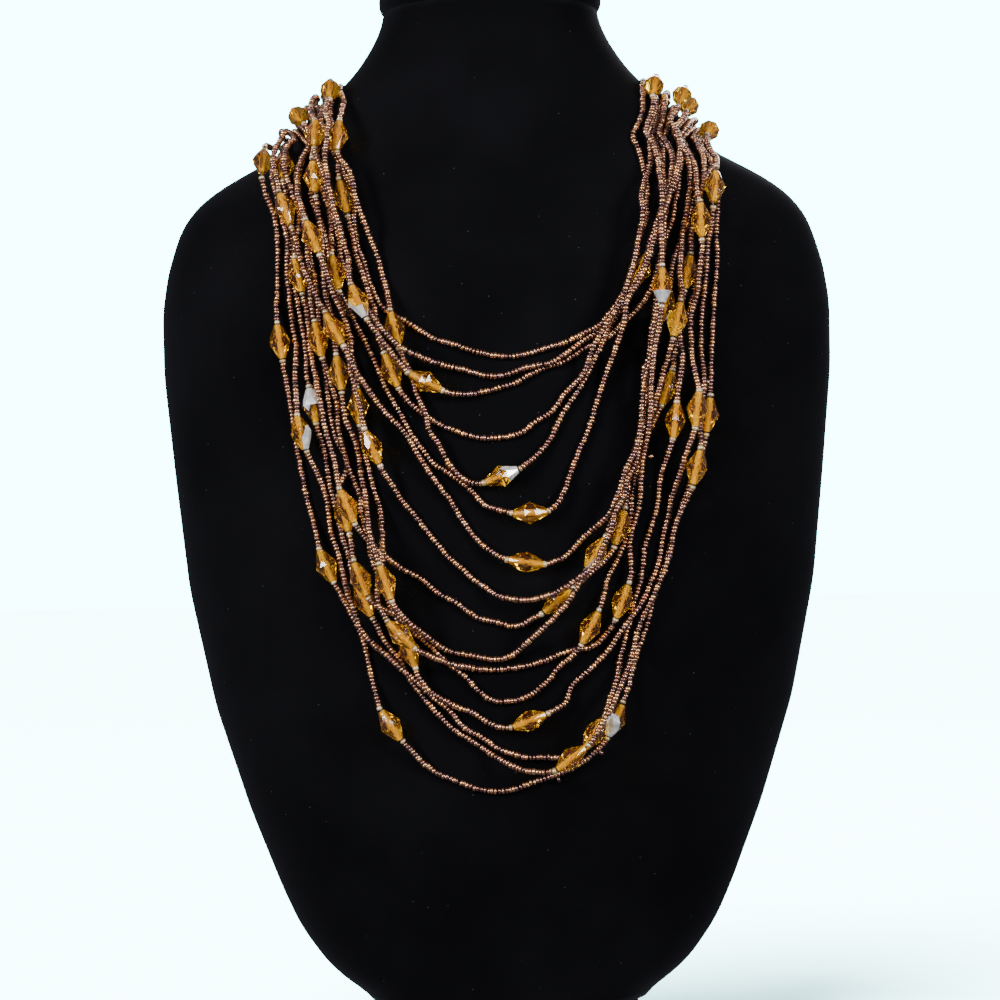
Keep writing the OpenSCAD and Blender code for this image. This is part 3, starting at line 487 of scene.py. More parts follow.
# %% [markdown]
# ## Threading
#
# A bead on a real string touches its neighbours, so the beads are placed by
# the distance along the string as it really runs, hills included. This walks
# each line in half-millimetre steps, adds up the length, and rounds off the
# corners of the hills over a few millimetres, as a stiff string of beads does.
# No string hangs in a perfect curve either: beads catch on the velvet, so each
# line also wanders by a fraction of a millimetre. The wander is the first
# thing drawn from one seeded generator, which later makes the beads differ
# too, so the scene comes out the same each time. All this costs some room
# where strings cross: over a fiftieth of the length their beads run into those
# of another string by more than 0.3 mm, and by 1.3 mm at worst.

# %% The lines as they run in space
WALK = 0.5 * MM
ROUND_OFF = 5       # steps of the walk on either side
STIFF = 3 * MM      # how far beside an amber bead the rounding off sets in
WANDER = 0.14 * MM  # height of one wave of a string's wander
luck = np.random.default_rng(1862)

def sway_of():
    """A string's wander, sideways and up: three waves each, 12 to 40 mm long."""
    waves = math.tau / luck.uniform(12 * MM, 40 * MM, (3, 1, 2))
    starts = luck.uniform(0, math.tau, (3, 1, 2))
    return lambda q: (WANDER * np.sin(waves * q[None, :, None] + starts)).sum(axis=0)

for string in STRINGS:
    string["sway"] = sway_of()

def lift_at(string, q):
    """Height over the bust at distances q. An amber bead is stiff, so it stays a straight step."""
    fine = np.arange(0, string["long"] + WALK, WALK)
    rough = np.interp(fine, string["ends"], string["heights"])
    kernel = np.hanning(2 * ROUND_OFF + 3)[1:-1]
    soft = np.convolve(np.pad(rough, ROUND_OFF, "edge"), kernel / kernel.sum(), "valid")
    half = AMBER_LENGTH / 2 + END_GAP
    beside = np.min([np.abs(fine - b) for b in string["beads"]] or [fine + 1], axis=0)
    keep = np.clip((half + STIFF - beside) / STIFF, 0, 1)
    return np.interp(q, fine, keep * rough + (1 - keep) * soft)

def in_space(string, q):
    """Points and outward directions of the string at distances q."""
    place = string["line"](q)
    # the wander round the bust is a length, and the half width turns it into an angle
    place = place + string["sway"](q) / np.stack([half_width(place[:, 1]), np.ones(len(q))], -1)
    out = out_of_bust(*place.T)
    return on_bust(*place.T) + lift_at(string, q)[:, None] * out, out

def even(string, start, stop, pitch):
    """Distances for beads packed from start to stop, each about one pitch from the next."""
    fine = np.linspace(start, stop, max(2, int((stop - start) / WALK) + 1))
    steps = np.linalg.norm(np.diff(in_space(string, fine)[0], axis=0), axis=1)
    run = np.concatenate([[0], np.cumsum(steps)])
    count = max(1, round(run[-1] / pitch))
    return np.interp((np.arange(count) + 0.5) / count * run[-1], run, fine)

def string_length(string):
    fine = np.arange(0, string["long"], WALK)
    return np.linalg.norm(np.diff(in_space(string, fine)[0], axis=0), axis=1).sum()

lengths = [string_length(s) for s in STRINGS]
print("lengths in mm:", [round(v / MM) for v in lengths])

# %% [markdown]
# ## One seed bead
#
# A tumbled seed bead is a short barrel with a hole. Six rings of ten corners
# are enough: the hole's edge, the round shoulder and the belly, and the same
# again. Smooth shading rounds it off. There are thousands of them, so they are
# not objects of their own: each string becomes one mesh, built by turning,
# sizing and placing the same barrel with arrays. The bead is drawn a tenth of
# a millimetre wider than its CAD tube, as the strings look too thin otherwise.

# %% The barrel, and many of them in one mesh
BEAD_WIDTH, BEAD_LONG, BEAD_PITCH = 2.1 * MM, 1.14 * MM, 1.22 * MM
SIDES = 10
# share of the radius, share of half the length
BARREL = np.array([(0.42, -0.96), (0.80, -0.90), (1.0, -0.36),
                   (1.0, 0.36), (0.80, 0.90), (0.42, 0.96)])

def barrel_mesh(width, length):
    around = np.arange(SIDES) * math.tau / SIDES
    rings = [np.stack([r * width / 2 * np.cos(around), r * width / 2 * np.sin(around),
                       np.full(SIDES, h * length / 2)], -1) for r, h in BARREL]
    faces = [(i * SIDES + j, i * SIDES + (j + 1) % SIDES, (i + 1) * SIDES + (j + 1) % SIDES,
              (i + 1) * SIDES + j) for i in range(len(BARREL) - 1) for j in range(SIDES)]
    return np.concatenate(rings), np.array(faces)

def turned(way, out, roll):
    """Rotations whose third axis is the way along the string, rolled by an angle."""
    way = way / np.linalg.norm(way, axis=1, keepdims=True)
    side = np.cross(out, way)
    side /= np.linalg.norm(side, axis=1, keepdims=True)
    up = np.cross(way, side)
    c, s = np.cos(roll)[:, None], np.sin(roll)[:, None]
    return np.stack([c * side + s * up, c * up - s * side, way], -1)

def many(shape, faces, centres, turns, sizes):
    """Copies of a shape at each centre: all their corners and all their faces."""
    corners = np.einsum("nij,nkj->nki", turns, shape[None] * sizes[:, None, :]) + centres[:, None]
    step = np.arange(len(centres))[:, None, None] * len(shape)
    return corners.reshape(-1, 3), (faces[None] + step).reshape(-1, faces.shape[1])

barrel, barrel_faces = barrel_mesh(BEAD_WIDTH, BEAD_LONG)
print("one bead:", len(barrel), "corners,", 2 * len(barrel_faces), "triangles")

# %% [markdown]
# ## No two beads alike
#
# Seed beads of one packet differ by a tenth of their size and more, sit a
# little askew on the thread, and reflect light each in its own way. The pale
# beads beside the amber ones are picked with more care, so they sit straighter.
# The pitch is the same for all, so two long beads side by side run into each
# other, by some tenths of a millimetre along the thread.

# %% Place the beads of one string
NEAR = 0.4 * MM       # how far along the string a bead looks to find its way
OFF_LINE = 0.08 * MM  # usual distance of a bead from its place on the thread
SPREAD_WIDE, SPREAD_LONG = 0.06, 0.16  # usual error of a bead's width and length

def seed_places(string):
    """Distances of the coated beads and of the pale beads next to amber beads."""
    half = AMBER_LENGTH / 2 + END_GAP
    starts = np.concatenate([[0], string["beads"] + half])
    stops = np.concatenate([string["beads"] - half, [string["long"]]])
    coated, pale = [], []
    for i, (start, stop) in enumerate(zip(starts, stops)):
        q = even(string, start, stop, BEAD_PITCH)
        first, last = int(i > 0), int(i < len(starts) - 1)
        coated += list(q[first:len(q) - last])
        pale += list(q[:first]) + list(q[len(q) - last:])
    return np.array(coated), np.array(pale)

def bead_cloud(string, q, askew, wide=1.0, long=1.0, aside=0.0):
    """Corners, faces and one tone a corner for beads at distances q, moved aside by a vector."""
    centres, out = in_space(string, q)
    way = in_space(string, q + NEAR)[0] - in_space(string, q - NEAR)[0]
    way /= np.linalg.norm(way, axis=1, keepdims=True)
    way += luck.normal(0, askew, way.shape)
    n = len(q)
    centres = centres + aside + luck.normal(0, OFF_LINE, centres.shape)
    across = wide * luck.normal(1, SPREAD_WIDE, n).clip(0.86, 1.12)
    along = long * luck.normal(1, SPREAD_LONG, n).clip(0.65, 1.3)
    corners, faces = many(barrel, barrel_faces, centres, turned(way, out, luck.uniform(0, 3, n)),
                          np.stack([across, across, along], -1))
    return corners, faces, np.repeat(luck.uniform(0, 1, n), len(barrel))

q_coated, q_pale = seed_places(STRINGS[0])
print("string 1:", len(q_coated), "coated beads and", len(q_pale), "pale ones")

# %% The thread between the beads
THREAD_WIDTH, THREAD_STEP, THREAD_SIDES = 0.5 * MM, 2 * MM, 5

def thread_tube(string):
    """Corners, faces and tones of a thin tube along the whole string."""
    q = np.linspace(0, string["long"], int(string["long"] / THREAD_STEP))
    centres, out = in_space(string, q)
    way = np.gradient(centres, axis=0)
    turns = turned(way, out, np.zeros(len(q)))
    around = np.arange(THREAD_SIDES) * math.tau / THREAD_SIDES
    ring = THREAD_WIDTH / 2 * np.stack([np.cos(around), np.sin(around), 0 * around], -1)
    corners = (np.einsum("nij,kj->nki", turns, ring) + centres[:, None]).reshape(-1, 3)
    faces = [(i * THREAD_SIDES + j, i * THREAD_SIDES + (j + 1) % THREAD_SIDES,
              (i + 1) * THREAD_SIDES + (j + 1) % THREAD_SIDES, (i + 1) * THREAD_SIDES + j)
             for i in range(len(q) - 1) for j in range(THREAD_SIDES)]
    return corners, np.array(faces), np.full(len(corners), 0.5)

print("thread of string 1:", len(thread_tube(STRINGS[0])[0]), "corners")

# %% [markdown]
# ## Stray beads
#
# Here and there in the photograph a single seed bead has slipped out of line,
# held by a slack turn of the thread. Seven show on the front. Each is given by
# its spot, across and up, and goes to the string that passes closest to it.
# That works for one of them only, as the distances printed here show. A bead
# is 2.1 mm wide, so one that is closer than that to the middle of the string
# runs into the string's own beads.

# %% Find the string of each stray bead
STRAY = [(.032, .1095), (.018, .1005), (.0505, .208), (.0535, .2465), (.0705, .2325),
         (.074, .264), (.0735, .2585)]

def nearest_string(x, z):
    """Of the string that is nearest to a spot: the gap, its index, the distance along, the step."""
    found = []
    for k, string in enumerate(STRINGS):
        q = np.arange(0, string["long"], MM)
        place = in_space(string, q)[0]
        # a metre is added behind the bust, which rules that part out
        miss = np.hypot(place[:, 0] - x, place[:, 2] - z) + (place[:, 1] > 0)
        i = int(miss.argmin())
        found.append((miss[i], k, q[i], x - place[i, 0], z - place[i, 2]))
    return min(found)

strays = [nearest_string(x, z) for x, z in STRAY]
print("stray beads, mm off their strings:", [round(row[0] / MM, 1) for row in strays])

# %% [markdown]
# ## The strings
#
# One object a string, with three finishes: the coated beads, the pale beads
# and the thread. Each object rides on the model's one body and stands for its
# CAD tube, which is then hidden.

# %% Build the sixteen strings
def mesh_object(name, parts, materials, smooth=True):
    """One object from parts of (corners, faces, tones), a material each."""
    corners, faces, tones, marks, start = [], [], [], [], 0
    for i, (c, f, t) in enumerate(parts):
        corners.append(c); tones.append(t)
        faces += (f + start).tolist()
        marks += [i] * len(f)
        start += len(c)
    mesh = bpy.data.meshes.new(name)
    mesh.from_pydata(np.concatenate(corners).tolist(), [], faces)
    tone = mesh.attributes.new("bead_tone", "FLOAT", "POINT")
    tone.data.foreach_set("value", np.concatenate(tones))
    for material in materials:
        mesh.materials.append(material)
    mesh.polygons.foreach_set("material_index", marks)
    mesh.polygons.foreach_set("use_smooth", [smooth] * len(faces))
    mesh.update()
    piece = bpy.data.objects.new(name, mesh)
    bpy.context.scene.collection.objects.link(piece)
    return piece

beads_made = 0
for k, string in enumerate(STRINGS):
    q_coated, q_pale = seed_places(string)
    parts = [bead_cloud(string, q_coated, askew=0.09),
             bead_cloud(string, q_pale, askew=0.02, wide=1.02, long=1.12), thread_tube(string)]
    for _, which, q, dx, dz in strays:
        if which == k:
            parts.append(bead_cloud(string, np.array([q]), askew=0.3, aside=np.array([dx, 0, dz])))
    materials = [bead_coat, bead_lined, thread_nylon] + [bead_coat] * (len(parts) - 3)
    piece = mesh_object("beads_string_%02d" % (k + 1), parts, materials)
    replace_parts(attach(piece, "root"), "string_%02d" % (k + 1))
    beads_made += len(q_coated) + len(q_pale)
print(beads_made, "seed beads")

# %% [markdown]
# ## Amber beads
#
# The long amber beads are pressed glass bicones, then ground and fire-polished:
# a row of flat facets runs from each end to the waist, and small diamond facets
# are cut across the waist itself. The hole is lined with pale gold, which shows
# as a bright stripe, magnified by the glass round it, while the thick glass at
# the sides stays dark until a facet catches the light. The glass is modelled
# as real glass: a closed body that bends light, absorbs blue as the light goes
# through, and has the lining inside it. Amber glass absorbs nearly all of the
# blue within the 7 mm of a bead and little of the red, and the density below is
# set so that it does. A few hundredths of the light is scattered by bubbles,
# which warms the dark sides.

# %% Material: amber glass
def amber_glass_material():
    m = start_material("amber_glass_cut_and_fire_polished")
    place = add(m, "TexCoord")
    # ripples left by grinding and melting, about 1 mm apart
    ripple = add(m, "TexNoise", {"Vector": (place, "Object"), "Scale": 1 / (2 * MM), "Detail": 1.0})
    bump = add(m, "Bump", {"Height": (ripple, "Fac"), "Strength": 0.5, "Distance": 0.12 * MM})
    # polish varies from facet to facet between clear and slightly dull
    polish = add(m, "MapRange", {"Value": (ripple, "Fac"), "To Min": 0.05, "To Max": 0.14})
    glass = add(m, "BsdfPrincipled", {
        "Base Color": linear("#fdf0c8"), "Roughness": (polish, "Result"), "Normal": (bump, "Normal"),
        "Transmission Weight": 1.0, "IOR": 1.52, "Specular IOR Level": 0.3})
    bubbles = add(m, "BsdfDiffuse", {"Color": linear("#8a4210")})
    body = add(m, "MixShader", {"Fac": 0.04})
    # light that only passes through on its way to the lining isn't bent
    straight = add(m, "BsdfTransparent", {"Color": linear("#f6e2b4")})
    both = add(m, "MixShader", {"Fac": (add(m, "LightPath"), "Is Shadow Ray")})
    absorbed = add(m, "VolumeAbsorption", {"Color": linear("#f2e434"), "Density": 380.0})
    finish_material(m, both)
    out = next(n for n in m.node_tree.nodes if n.type == "OUTPUT_MATERIAL")
    for shader, socket in [(glass, body.inputs[1]), (bubbles, body.inputs[2]), (body, both.inputs[1]),
                           (straight, both.inputs[2]), (absorbed, out.inputs["Volume"])]:
        m.node_tree.links.new(shader.outputs[0], socket)
    return m

amber_glass = amber_glass_material()
print("material", amber_glass.name)

# %% [markdown]
# ## What is on and in the glass
#
# Two thin layers go with the glass. The lining is gold paint brushed into the
# hole, matt, with streaks along and across it. The silver coat is sprayed on
# the outside of a few of the beads before they are strung, at one end only, and
# it hides the amber under it.

# %% Materials: gold lining and silver coat
def gold_lining_material():
    m = start_material("gold_lining_matt")
    place = add(m, "TexCoord")
    # brush streaks in the lining, about 0.3 mm wide
    streaks = add(m, "TexNoise", {"Vector": (place, "Object"), "Scale": 1 / (0.6 * MM), "Detail": 2.0})
    colour = colour_steps(add(m, "ValToRGB", {"Fac": (streaks, "Fac")}), [
        (0.3, "#7c5c00"), (0.7, "#a88800")])
    return finish_material(m, add(m, "BsdfPrincipled", {
        "Base Color": (colour, "Color"), "Roughness": 0.5, "Specular IOR Level": 0.2}))

def silver_coat_material():
    m = start_material("glass_facet_silver_coat")
    place = add(m, "TexCoord")
    cloud = add(m, "TexNoise", {"Vector": (place, "Object"), "Scale": 1 / (1.5 * MM), "Detail": 2.0})
    # the coat is thicker in clouds about 1 mm across
    colour = colour_steps(add(m, "ValToRGB", {"Fac": (cloud, "Fac")}), [
        (0.35, "#a9adb4"), (0.65, "#e2e0da")])
    return finish_material(m, add(m, "BsdfPrincipled", {
        "Base Color": (colour, "Color"), "Roughness": 0.24, "Metallic": 0.6}))

gold_lining, silver_coat = gold_lining_material(), silver_coat_material()
print("materials", gold_lining.name, silver_coat.name)

# %% [markdown]
# ## Cutting one bead
#
# Eight corners go round each ring, and every other ring is turned by half a
# corner, so that the faces between two rings are triangles like those of a cut
# stone. A ring close to the waist gives the diamond facets. The lining is a
# plain tube down the middle, a hair shorter than the bead so that no two faces
# lie in one plane.

# %% Shape of a cut bead and its lining
AMBER_WIDTH, LINING_WIDTH, FACETS = 7.4 * MM, 1.4 * MM, 8
# share of half the length, radius, whether the ring is turned by half a facet
CUT = [(-1.0, AMBER_END / 2, 0), (-0.34, 0.395 * AMBER_WIDTH, 1), (0.0, AMBER_WIDTH / 2, 0),
       (0.34, 0.395 * AMBER_WIDTH, 1), (1.0, AMBER_END / 2, 0)]

def cut_bead():
    """The glass of a bead: rings of corners, triangles between them, and two flat ends."""
    corners, faces = [], []
    for along, radius, half in CUT:
        for j in range(FACETS):
            a = math.tau * (j + half / 2) / FACETS
            corners.append((radius * math.cos(a), radius * math.sin(a), along * AMBER_LENGTH / 2))
    for ring in range(len(CUT) - 1):
        low, high, half = ring * FACETS, (ring + 1) * FACETS, CUT[ring][2]
        for j in range(FACETS):
            nxt = (j + 1) % FACETS
            if half == 0:
                faces += [(low + j, low + nxt, high + j), (low + nxt, high + nxt, high + j)]
            else:
                faces += [(low + j, high + nxt, high + j), (low + j, low + nxt, high + nxt)]
    last = (len(CUT) - 1) * FACETS
    for j in range(1, FACETS - 1):
        faces += [(0, j + 1, j), (last, last + j, last + j + 1)]
    return np.array(corners), np.array(faces)

def lining_tube():
    """The lining, closed at both ends."""
    sides, half = 16, AMBER_LENGTH / 2 - 0.05 * MM
    around = np.arange(sides) * math.tau / sides
    ring = LINING_WIDTH / 2 * np.stack([np.cos(around), np.sin(around), 0 * around], -1)
    corners = np.concatenate([ring - (0, 0, half), ring + (0, 0, half)])
    walls = [(j, (j + 1) % sides, sides + (j + 1) % sides) for j in range(sides)]
    walls += [(j, sides + (j + 1) % sides, sides + j) for j in range(sides)]
    ends = [(0, j + 1, j) for j in range(1, sides - 1)]
    ends += [(sides, sides + j, sides + j + 1) for j in range(1, sides - 1)]
    return corners, np.array(walls + ends)

amber_shape, amber_faces = cut_bead()
tube_shape, tube_faces = lining_tube()
print("a cut bead has", len(amber_faces), "facets")

# %% [markdown]
# ## Which bead is which
#
# The CAD model has a node for each bead on the chest and one for all those up
# by the neck. Each bead made here looks for the CAD solid whose middle is
# nearest to its own and stands for that one; the ones that find none within a
# couple of millimetres belong to the upper group.

# %% Find the node of each bead
OWN = [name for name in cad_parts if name.startswith("amber_bead_")]
MIDDLES = np.array([(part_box(name)[0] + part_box(name)[1]) / 2 for name in OWN])

groups = {}
for string in STRINGS:
    half = AMBER_LENGTH / 2 + END_GAP
    a, out = in_space(string, string["beads"] - half)
    b, _ = in_space(string, string["beads"] + half)
    for centre, way, up, kind in zip((a + b) / 2, b - a, out, string["kinds"]):
        away = np.linalg.norm(MIDDLES - centre, axis=1)
        name = OWN[int(away.argmin())] if away.min() < 2 * MM else "upper_amber_beads"
        groups.setdefault(name, []).append((centre, way, up, kind))
print(sum(len(rows) for rows in groups.values()), "cut beads for", len(groups), "nodes")

# %% [markdown]
# ## Silver on one end
#
# A silvered bead is sprayed from one end and a little from one side. So each
# bead gets a direction of its own, mostly along the string, and its facets that
# look that way are the coated ones.

# %% Build the amber beads
SILVERED = 2       # the mark of a silvered bead in the routes
COATED_FROM = 0.6  # how far a facet has to look the way of the spray

def amber_parts(rows):
    """Clear facets, coated facets and linings of some beads, each with corners, faces and tones."""
    centres, ways, ups, kinds = (np.array(v) for v in zip(*rows))
    turns, ones = turned(ways, ups, luck.uniform(0, 0.8, len(rows))), np.ones((len(rows), 3))
    glass, facets = many(amber_shape, amber_faces, centres, turns, ones)
    tubes, walls = many(tube_shape, tube_faces, centres, turns, ones)
    bead_size = np.array([AMBER_WIDTH, AMBER_WIDTH, AMBER_LENGTH])
    middles = amber_shape[amber_faces].mean(axis=1) / (bead_size / 2)
    spray = luck.normal(0, 1, (len(rows), 3))
    spray = spray + luck.choice([-1.5, 1.5], len(rows))[:, None] * (0, 0, 1)
    coated = ((kinds == SILVERED)[:, None] & (spray @ middles.T > COATED_FROM)).ravel()
    under_coat = glass if coated.any() else glass[:0]
    return [(corners, faces, np.zeros(len(corners))) for corners, faces in
            ((glass, facets[~coated]), (under_coat, facets[coated]), (tubes, walls))]

for name, rows in sorted(groups.items()):
    piece = mesh_object(name.replace("amber_bead", "cut_bead").replace("upper_amber", "upper_cut"),
                        amber_parts(rows), [amber_glass, silver_coat, gold_lining], smooth=False)
    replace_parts(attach(piece, "root"), name)
print("the upper group has", len(groups["upper_amber_beads"]), "beads")

# %% [markdown]
# ## Black velvet
#
# Velvet is a cut pile: short fibres that stand up from the cloth. Looking
# straight down the pile the light is lost in it, so it is almost black, and
# where the surface turns away the sides of the fibres catch some light. That
# is what the sheen of the shader stands for. The pile is also brushed this way
# and that, which leaves faint lighter and darker patches a few centimetres
# wide, and specks of lint lie on it.

# %% Material: cotton velvet
def velvet_material():
    m = start_material("cotton_velvet_black_cut_pile")
    place = add(m, "TexCoord")
    # tufts about 0.7 mm apart: real pile is finer, but would not show
    pile = add(m, "TexNoise", {"Vector": (place, "Object"), "Scale": 1 / (0.9 * MM), "Detail": 3.0})
    bump = add(m, "Bump", {"Height": (pile, "Fac"), "Strength": 0.5, "Distance": 0.3 * MM})
    # patches brushed up or down, about 35 mm across
    brushed = add(m, "TexNoise", {"Vector": (place, "Object"), "Scale": 1 / (50 * MM), "Detail": 3.0})
    cloth = colour_steps(add(m, "ValToRGB", {"Fac": (brushed, "Fac")}), [
        (0.35, "#020203"), (0.7, "#060608")])
    # lint: one speck in a few cells of 6 mm, each under half a millimetre wide
    lint = add(m, "TexVoronoi", {"Vector": (place, "Object"), "Scale": 1 / (6 * MM), "Randomness": 1.0})
    near = add(m, "MapRange", {"Value": (lint, "Distance"), "From Min": 0.02, "From Max": 0.045,
                               "To Min": 0.5, "To Max": 0.0})
    colour = add(m, "MixRGB", {"Fac": (near, "Result"), "Color1": (cloth, "Color"),
                               "Color2": linear("#3c3c44")})
    return finish_material(m, add(m, "BsdfPrincipled", {
        "Base Color": (colour, "Color"), "Roughness": 0.95, "Specular IOR Level": 0.03,
        "Normal": (bump, "Normal"), "Sheen Weight": 0.08, "Sheen Roughness": 0.45,
        "Sheen Tint": linear("#8a8a98")}))

velvet = velvet_material()
print("material", velvet.name)

# %% [markdown]
# ## The covered bust
#
# The CAD bust is faceted and its table has only 25 sections. The velvet is
# drawn from the same table, with four times the rows and three times the
# sides, and a running mean over the heights takes the corners off the table,
# as the padding under the cloth does.

# %% Build the bust
BUST_SIDES, BUST_LEVELS = 108, 140

def wrapped(name, rings, node):
    """A closed velvet skin from rings of equally many points, low to high, for a CAD node."""
    count, n = len(rings), len(rings[0])
    corners = np.concatenate(rings)
    faces = [(i * n + j, i * n + (j + 1) % n, (i + 1) * n + (j + 1) % n, (i + 1) * n + j)
             for i in range(count - 1) for j in range(n)]
    mesh = bpy.data.meshes.new(name)
    mesh.from_pydata(corners.tolist(), [], faces + [tuple(range(n))[::-1],
                     tuple(range((count - 1) * n, count * n))])
    mesh.polygons.foreach_set("use_smooth", [True] * (len(faces)) + [False] * 2)
    mesh.materials.append(velvet)
    piece = bpy.data.objects.new(name, mesh)
    bpy.context.scene.collection.objects.link(piece)
    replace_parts(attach(piece, "root"), node)
    print(name, len(corners), "corners")

around = np.arange(BUST_SIDES) * math.tau / BUST_SIDES

def padded_ring(z):
    """The section at a height, averaged over a few millimetres up and down."""
    spread = np.clip(np.linspace(-4, 4, 5) * MM + z, FOOT_TOP, NECK_TOP)
    ring = np.mean([on_bust(around, np.full(BUST_SIDES, s)) for s in spread], axis=0)
    ring[:, 2] = z
    return ring

levels = np.linspace(FOOT_TOP, NECK_TOP, BUST_LEVELS)
wrapped("velvet_bust", [padded_ring(z) for z in levels], "bust")

# %% [markdown]
# ## The rim and the foot
#
# The neck ends in a padded rim, a roll of velvet round a board, with the top
# sunk a little inside it. The foot is a block with round corners, wrapped in
# the same cloth, so its edges are soft too.

# %% Build the rim
RIM_HIGH = 9 * MM
# share of the rim's height, how far it stands out in millimetres
RIM = [(0.0, 0.1), (0.08, 0.8), (0.25, 1.4), (0.5, 1.5), (0.72, 1.1), (0.88, 0.1), (0.97, -1.4),
       (1.0, -3.5), (0.96, -6.0)]

def rim_ring(height, out):
    ring = padded_ring(NECK_TOP)
    ring[:, 2] = NECK_TOP + height * RIM_HIGH
    return ring + out * MM * np.stack([np.cos(around), np.sin(around), 0 * around], -1)

wrapped("velvet_rim", [rim_ring(h, out) for h, out in RIM], "neck_rim")

# %% Build the foot
FOOT_WIDE, FOOT_DEEP, FOOT_ROUND, FOOT_SOFT = 90 * MM, 62 * MM, 12 * MM, 2.5 * MM

def foot_ring(z, inset):
    """A rectangle with round corners at a height, pulled in by the inset."""
    points = []
    r = FOOT_ROUND - inset
    for cx, cy, start in ((1, 1, 0), (-1, 1, 90), (-1, -1, 180), (1, -1, 270)):
        for a in np.radians(np.linspace(start, start + 90, 12)):
            points.append((cx * (FOOT_WIDE / 2 - FOOT_ROUND) + r * math.cos(a),
                           cy * (FOOT_DEEP / 2 - FOOT_ROUND) + r * math.sin(a), z))
    return np.array(points)

# up and in from the edge, in six steps of a quarter turn
soft_edge = [(FOOT_SOFT * (1 - math.sin(a)), FOOT_SOFT * (1 - math.cos(a)))
             for a in np.radians(np.linspace(90, 0, 6))]
foot_rings = [foot_ring(up, inset) for up, inset in soft_edge]
foot_rings += [foot_ring(FOOT_TOP - up, inset) for up, inset in soft_edge[::-1]]
wrapped("velvet_foot", foot_rings, "foot")

# %% [markdown]
# ## The clasp
#
# All sixteen strings end at a bar at the nape, which is a guess, as the
# photograph doesn't show it. Clasps like it are cast in brass and antiqued:
# dipped dark, then rubbed bright again on the high places. The CAD bar keeps
# its mesh and gets the finish.

# %% Material: antiqued brass, on the CAD clasp
def antique_brass_material():
    m = start_material("brass_cast_antiqued")
    place = add(m, "TexCoord")
    # cast grain about 0.4 mm, worn patches about 4 mm across
    grain = add(m, "TexNoise", {"Vector": (place, "Object"), "Scale": 1 / (0.8 * MM), "Detail": 3.0})
    worn = add(m, "TexNoise", {"Vector": (place, "Object"), "Scale": 1 / (6 * MM), "Detail": 2.0})
    colour = colour_steps(add(m, "ValToRGB", {"Fac": (worn, "Fac")}), [
        (0.35, "#4c3a26"), (0.62, "#a88350")])
    polish = add(m, "MapRange", {"Value": (worn, "Fac"), "To Min": 0.55, "To Max": 0.28})
    bump = add(m, "Bump", {"Height": (grain, "Fac"), "Strength": 0.3, "Distance": 0.08 * MM})
    return finish_material(m, add(m, "BsdfPrincipled", {
        "Base Color": (colour, "Color"), "Roughness": (polish, "Result"), "Metallic": 1.0,
        "Normal": (bump, "Normal")}))

clasp_brass = antique_brass_material()
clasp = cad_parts["clasp"]
clasp.data.materials.clear()
clasp.data.materials.append(clasp_brass)

# %% [markdown]
# ## The floor
#
# A product picture is taken on a sheet of pale paper, lit until it is nearly
# white, here with a touch of cyan. The floor is that sheet. Beads and glass
# don't see it, or each bead would have a white band along its lower side, and
# a lamp that falls on nothing else lights it, so that the necklace can be lit
# for its own sake.

# %% Floor and the lamp that is only for it
def paper_material():
    m = start_material("paper_backdrop_pale")
    place = add(m, "TexCoord")
    # paper has faint clouds about 15 mm across, where it is thicker
    cloud = add(m, "TexNoise", {"Vector": (place, "Object"), "Scale": 1 / (25 * MM), "Detail": 2.0})
    colour = colour_steps(add(m, "ValToRGB", {"Fac": (cloud, "Fac")}), [
        (0.3, "#a8ecf0"), (0.7, "#b0f0f3")])
    return finish_material(m, add(m, "BsdfPrincipled", {
        "Base Color": (colour, "Color"), "Roughness": 0.9}))

FLOOR_HALF = 4.0
floor_mesh = bpy.data.meshes.new("floor")
floor_mesh.from_pydata([(x * FLOOR_HALF, y * FLOOR_HALF, 0) for x, y in
                        ((-1, -1), (1, -1), (1, 1), (-1, 1))], [], [(0, 1, 2, 3)])
floor_mesh.materials.append(paper_material())
floor = bpy.data.objects.new("floor", floor_mesh)
bpy.context.scene.collection.objects.link(floor)
floor.visible_diffuse = floor.visible_glossy = floor.visible_transmission = False

floor_lamp = bpy.data.objects.new("floor_lamp", bpy.data.lights.new("floor_lamp", "SUN"))
floor_lamp.data.energy, floor_lamp.data.angle = 60.0, math.radians(40)
floor_lamp.rotation_euler = Vector((0.5, 0.6, -1.0)).to_track_quat("-Z", "Y").to_euler()
bpy.context.scene.collection.objects.link(floor_lamp)
only_floor = bpy.data.collections.new("lit_by_floor_lamp")
only_floor.objects.link(floor)
floor_lamp.light_linking.receiver_collection = only_floor
print("floor", 2 * FLOOR_HALF, "m wide")

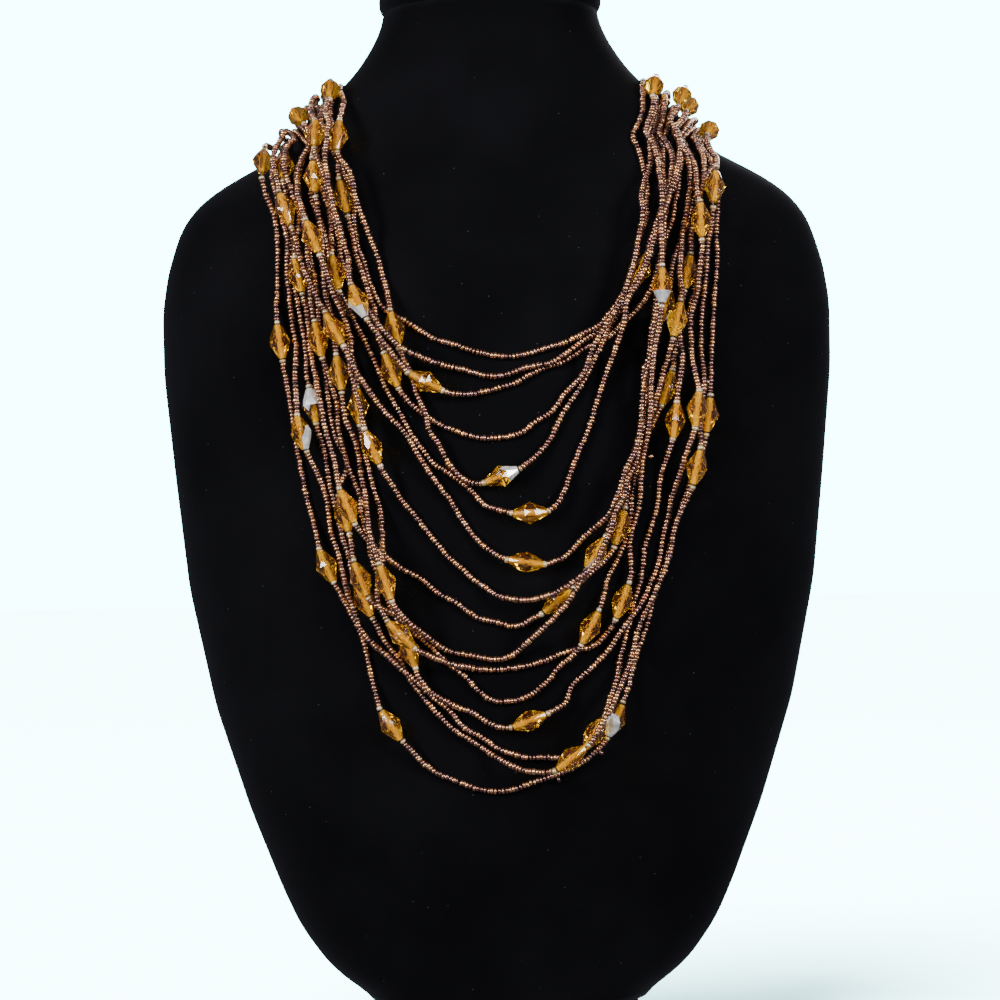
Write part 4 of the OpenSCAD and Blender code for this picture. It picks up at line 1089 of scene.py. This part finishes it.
# %% [markdown]
# ## Behind the bust
#
# The space all round is two things at once. What the camera sees of it is a
# bright backdrop in the colour of the paper. What the beads and the velvet see
# is a dim, even grey, as in a studio with black cloth hung at the sides, which
# keeps the velvet black and the sides of the beads dark. The backdrop's
# strength is far above one, because the tone curve of the picture bends bright
# values down before they turn white.

# %% World
world = bpy.data.worlds.new("studio")
bpy.context.scene.world = world
world.use_nodes = True
world.node_tree.nodes.clear()
studio = add(world, "Background", {"Color": linear("#e8eef4"), "Strength": 0.34})
backdrop = add(world, "Background", {"Color": linear("#9cf6ff"), "Strength": 17.0})
seen = add(world, "MixShader", {"Fac": (add(world, "LightPath"), "Is Camera Ray")})
out = add(world, "OutputWorld")
for shader, socket in [(studio, seen.inputs[1]), (backdrop, seen.inputs[2]),
                       (seen, out.inputs["Surface"])]:
    world.node_tree.links.new(shader.outputs[0], socket)
print("world", world.name)

# %% [markdown]
# ## Soft lights
#
# Two softboxes stand to the left and to the right of the camera, at the height
# of the shoulders. Every seed bead mirrors both, as two bright spots side by
# side, and that is most of what makes it look like a bead. A strip above the
# camera and a small lamp beside it fill in between the two, and one more
# softbox stands behind the bust, so that the nape and the clasp can be seen.

# %% Lamps
LIT_SPOT = Vector((0, 0, 0.22))  # the middle of the necklace

def softbox(name, place, width, height, power):
    lamp = bpy.data.lights.new(name, "AREA")
    lamp.shape, lamp.size, lamp.size_y, lamp.energy = "RECTANGLE", width, height, power
    thing = bpy.data.objects.new(name, lamp)
    thing.location = place
    thing.rotation_euler = (LIT_SPOT - Vector(place)).to_track_quat("-Z", "Y").to_euler()
    bpy.context.scene.collection.objects.link(thing)
    print(name, power, "W")

softbox("softbox_left", (-0.9, -0.8, 0.5), 0.35, 0.45, 28)
softbox("softbox_right", (0.9, -0.8, 0.5), 0.35, 0.45, 22)
softbox("strip_above_camera", (0.0, -1.0, 0.8), 1.0, 0.2, 8)
softbox("lamp_by_camera", (0.12, -1.1, 0.3), 0.12, 0.12, 2)
softbox("softbox_behind", (0.3, 1.0, 0.7), 0.8, 0.5, 14)
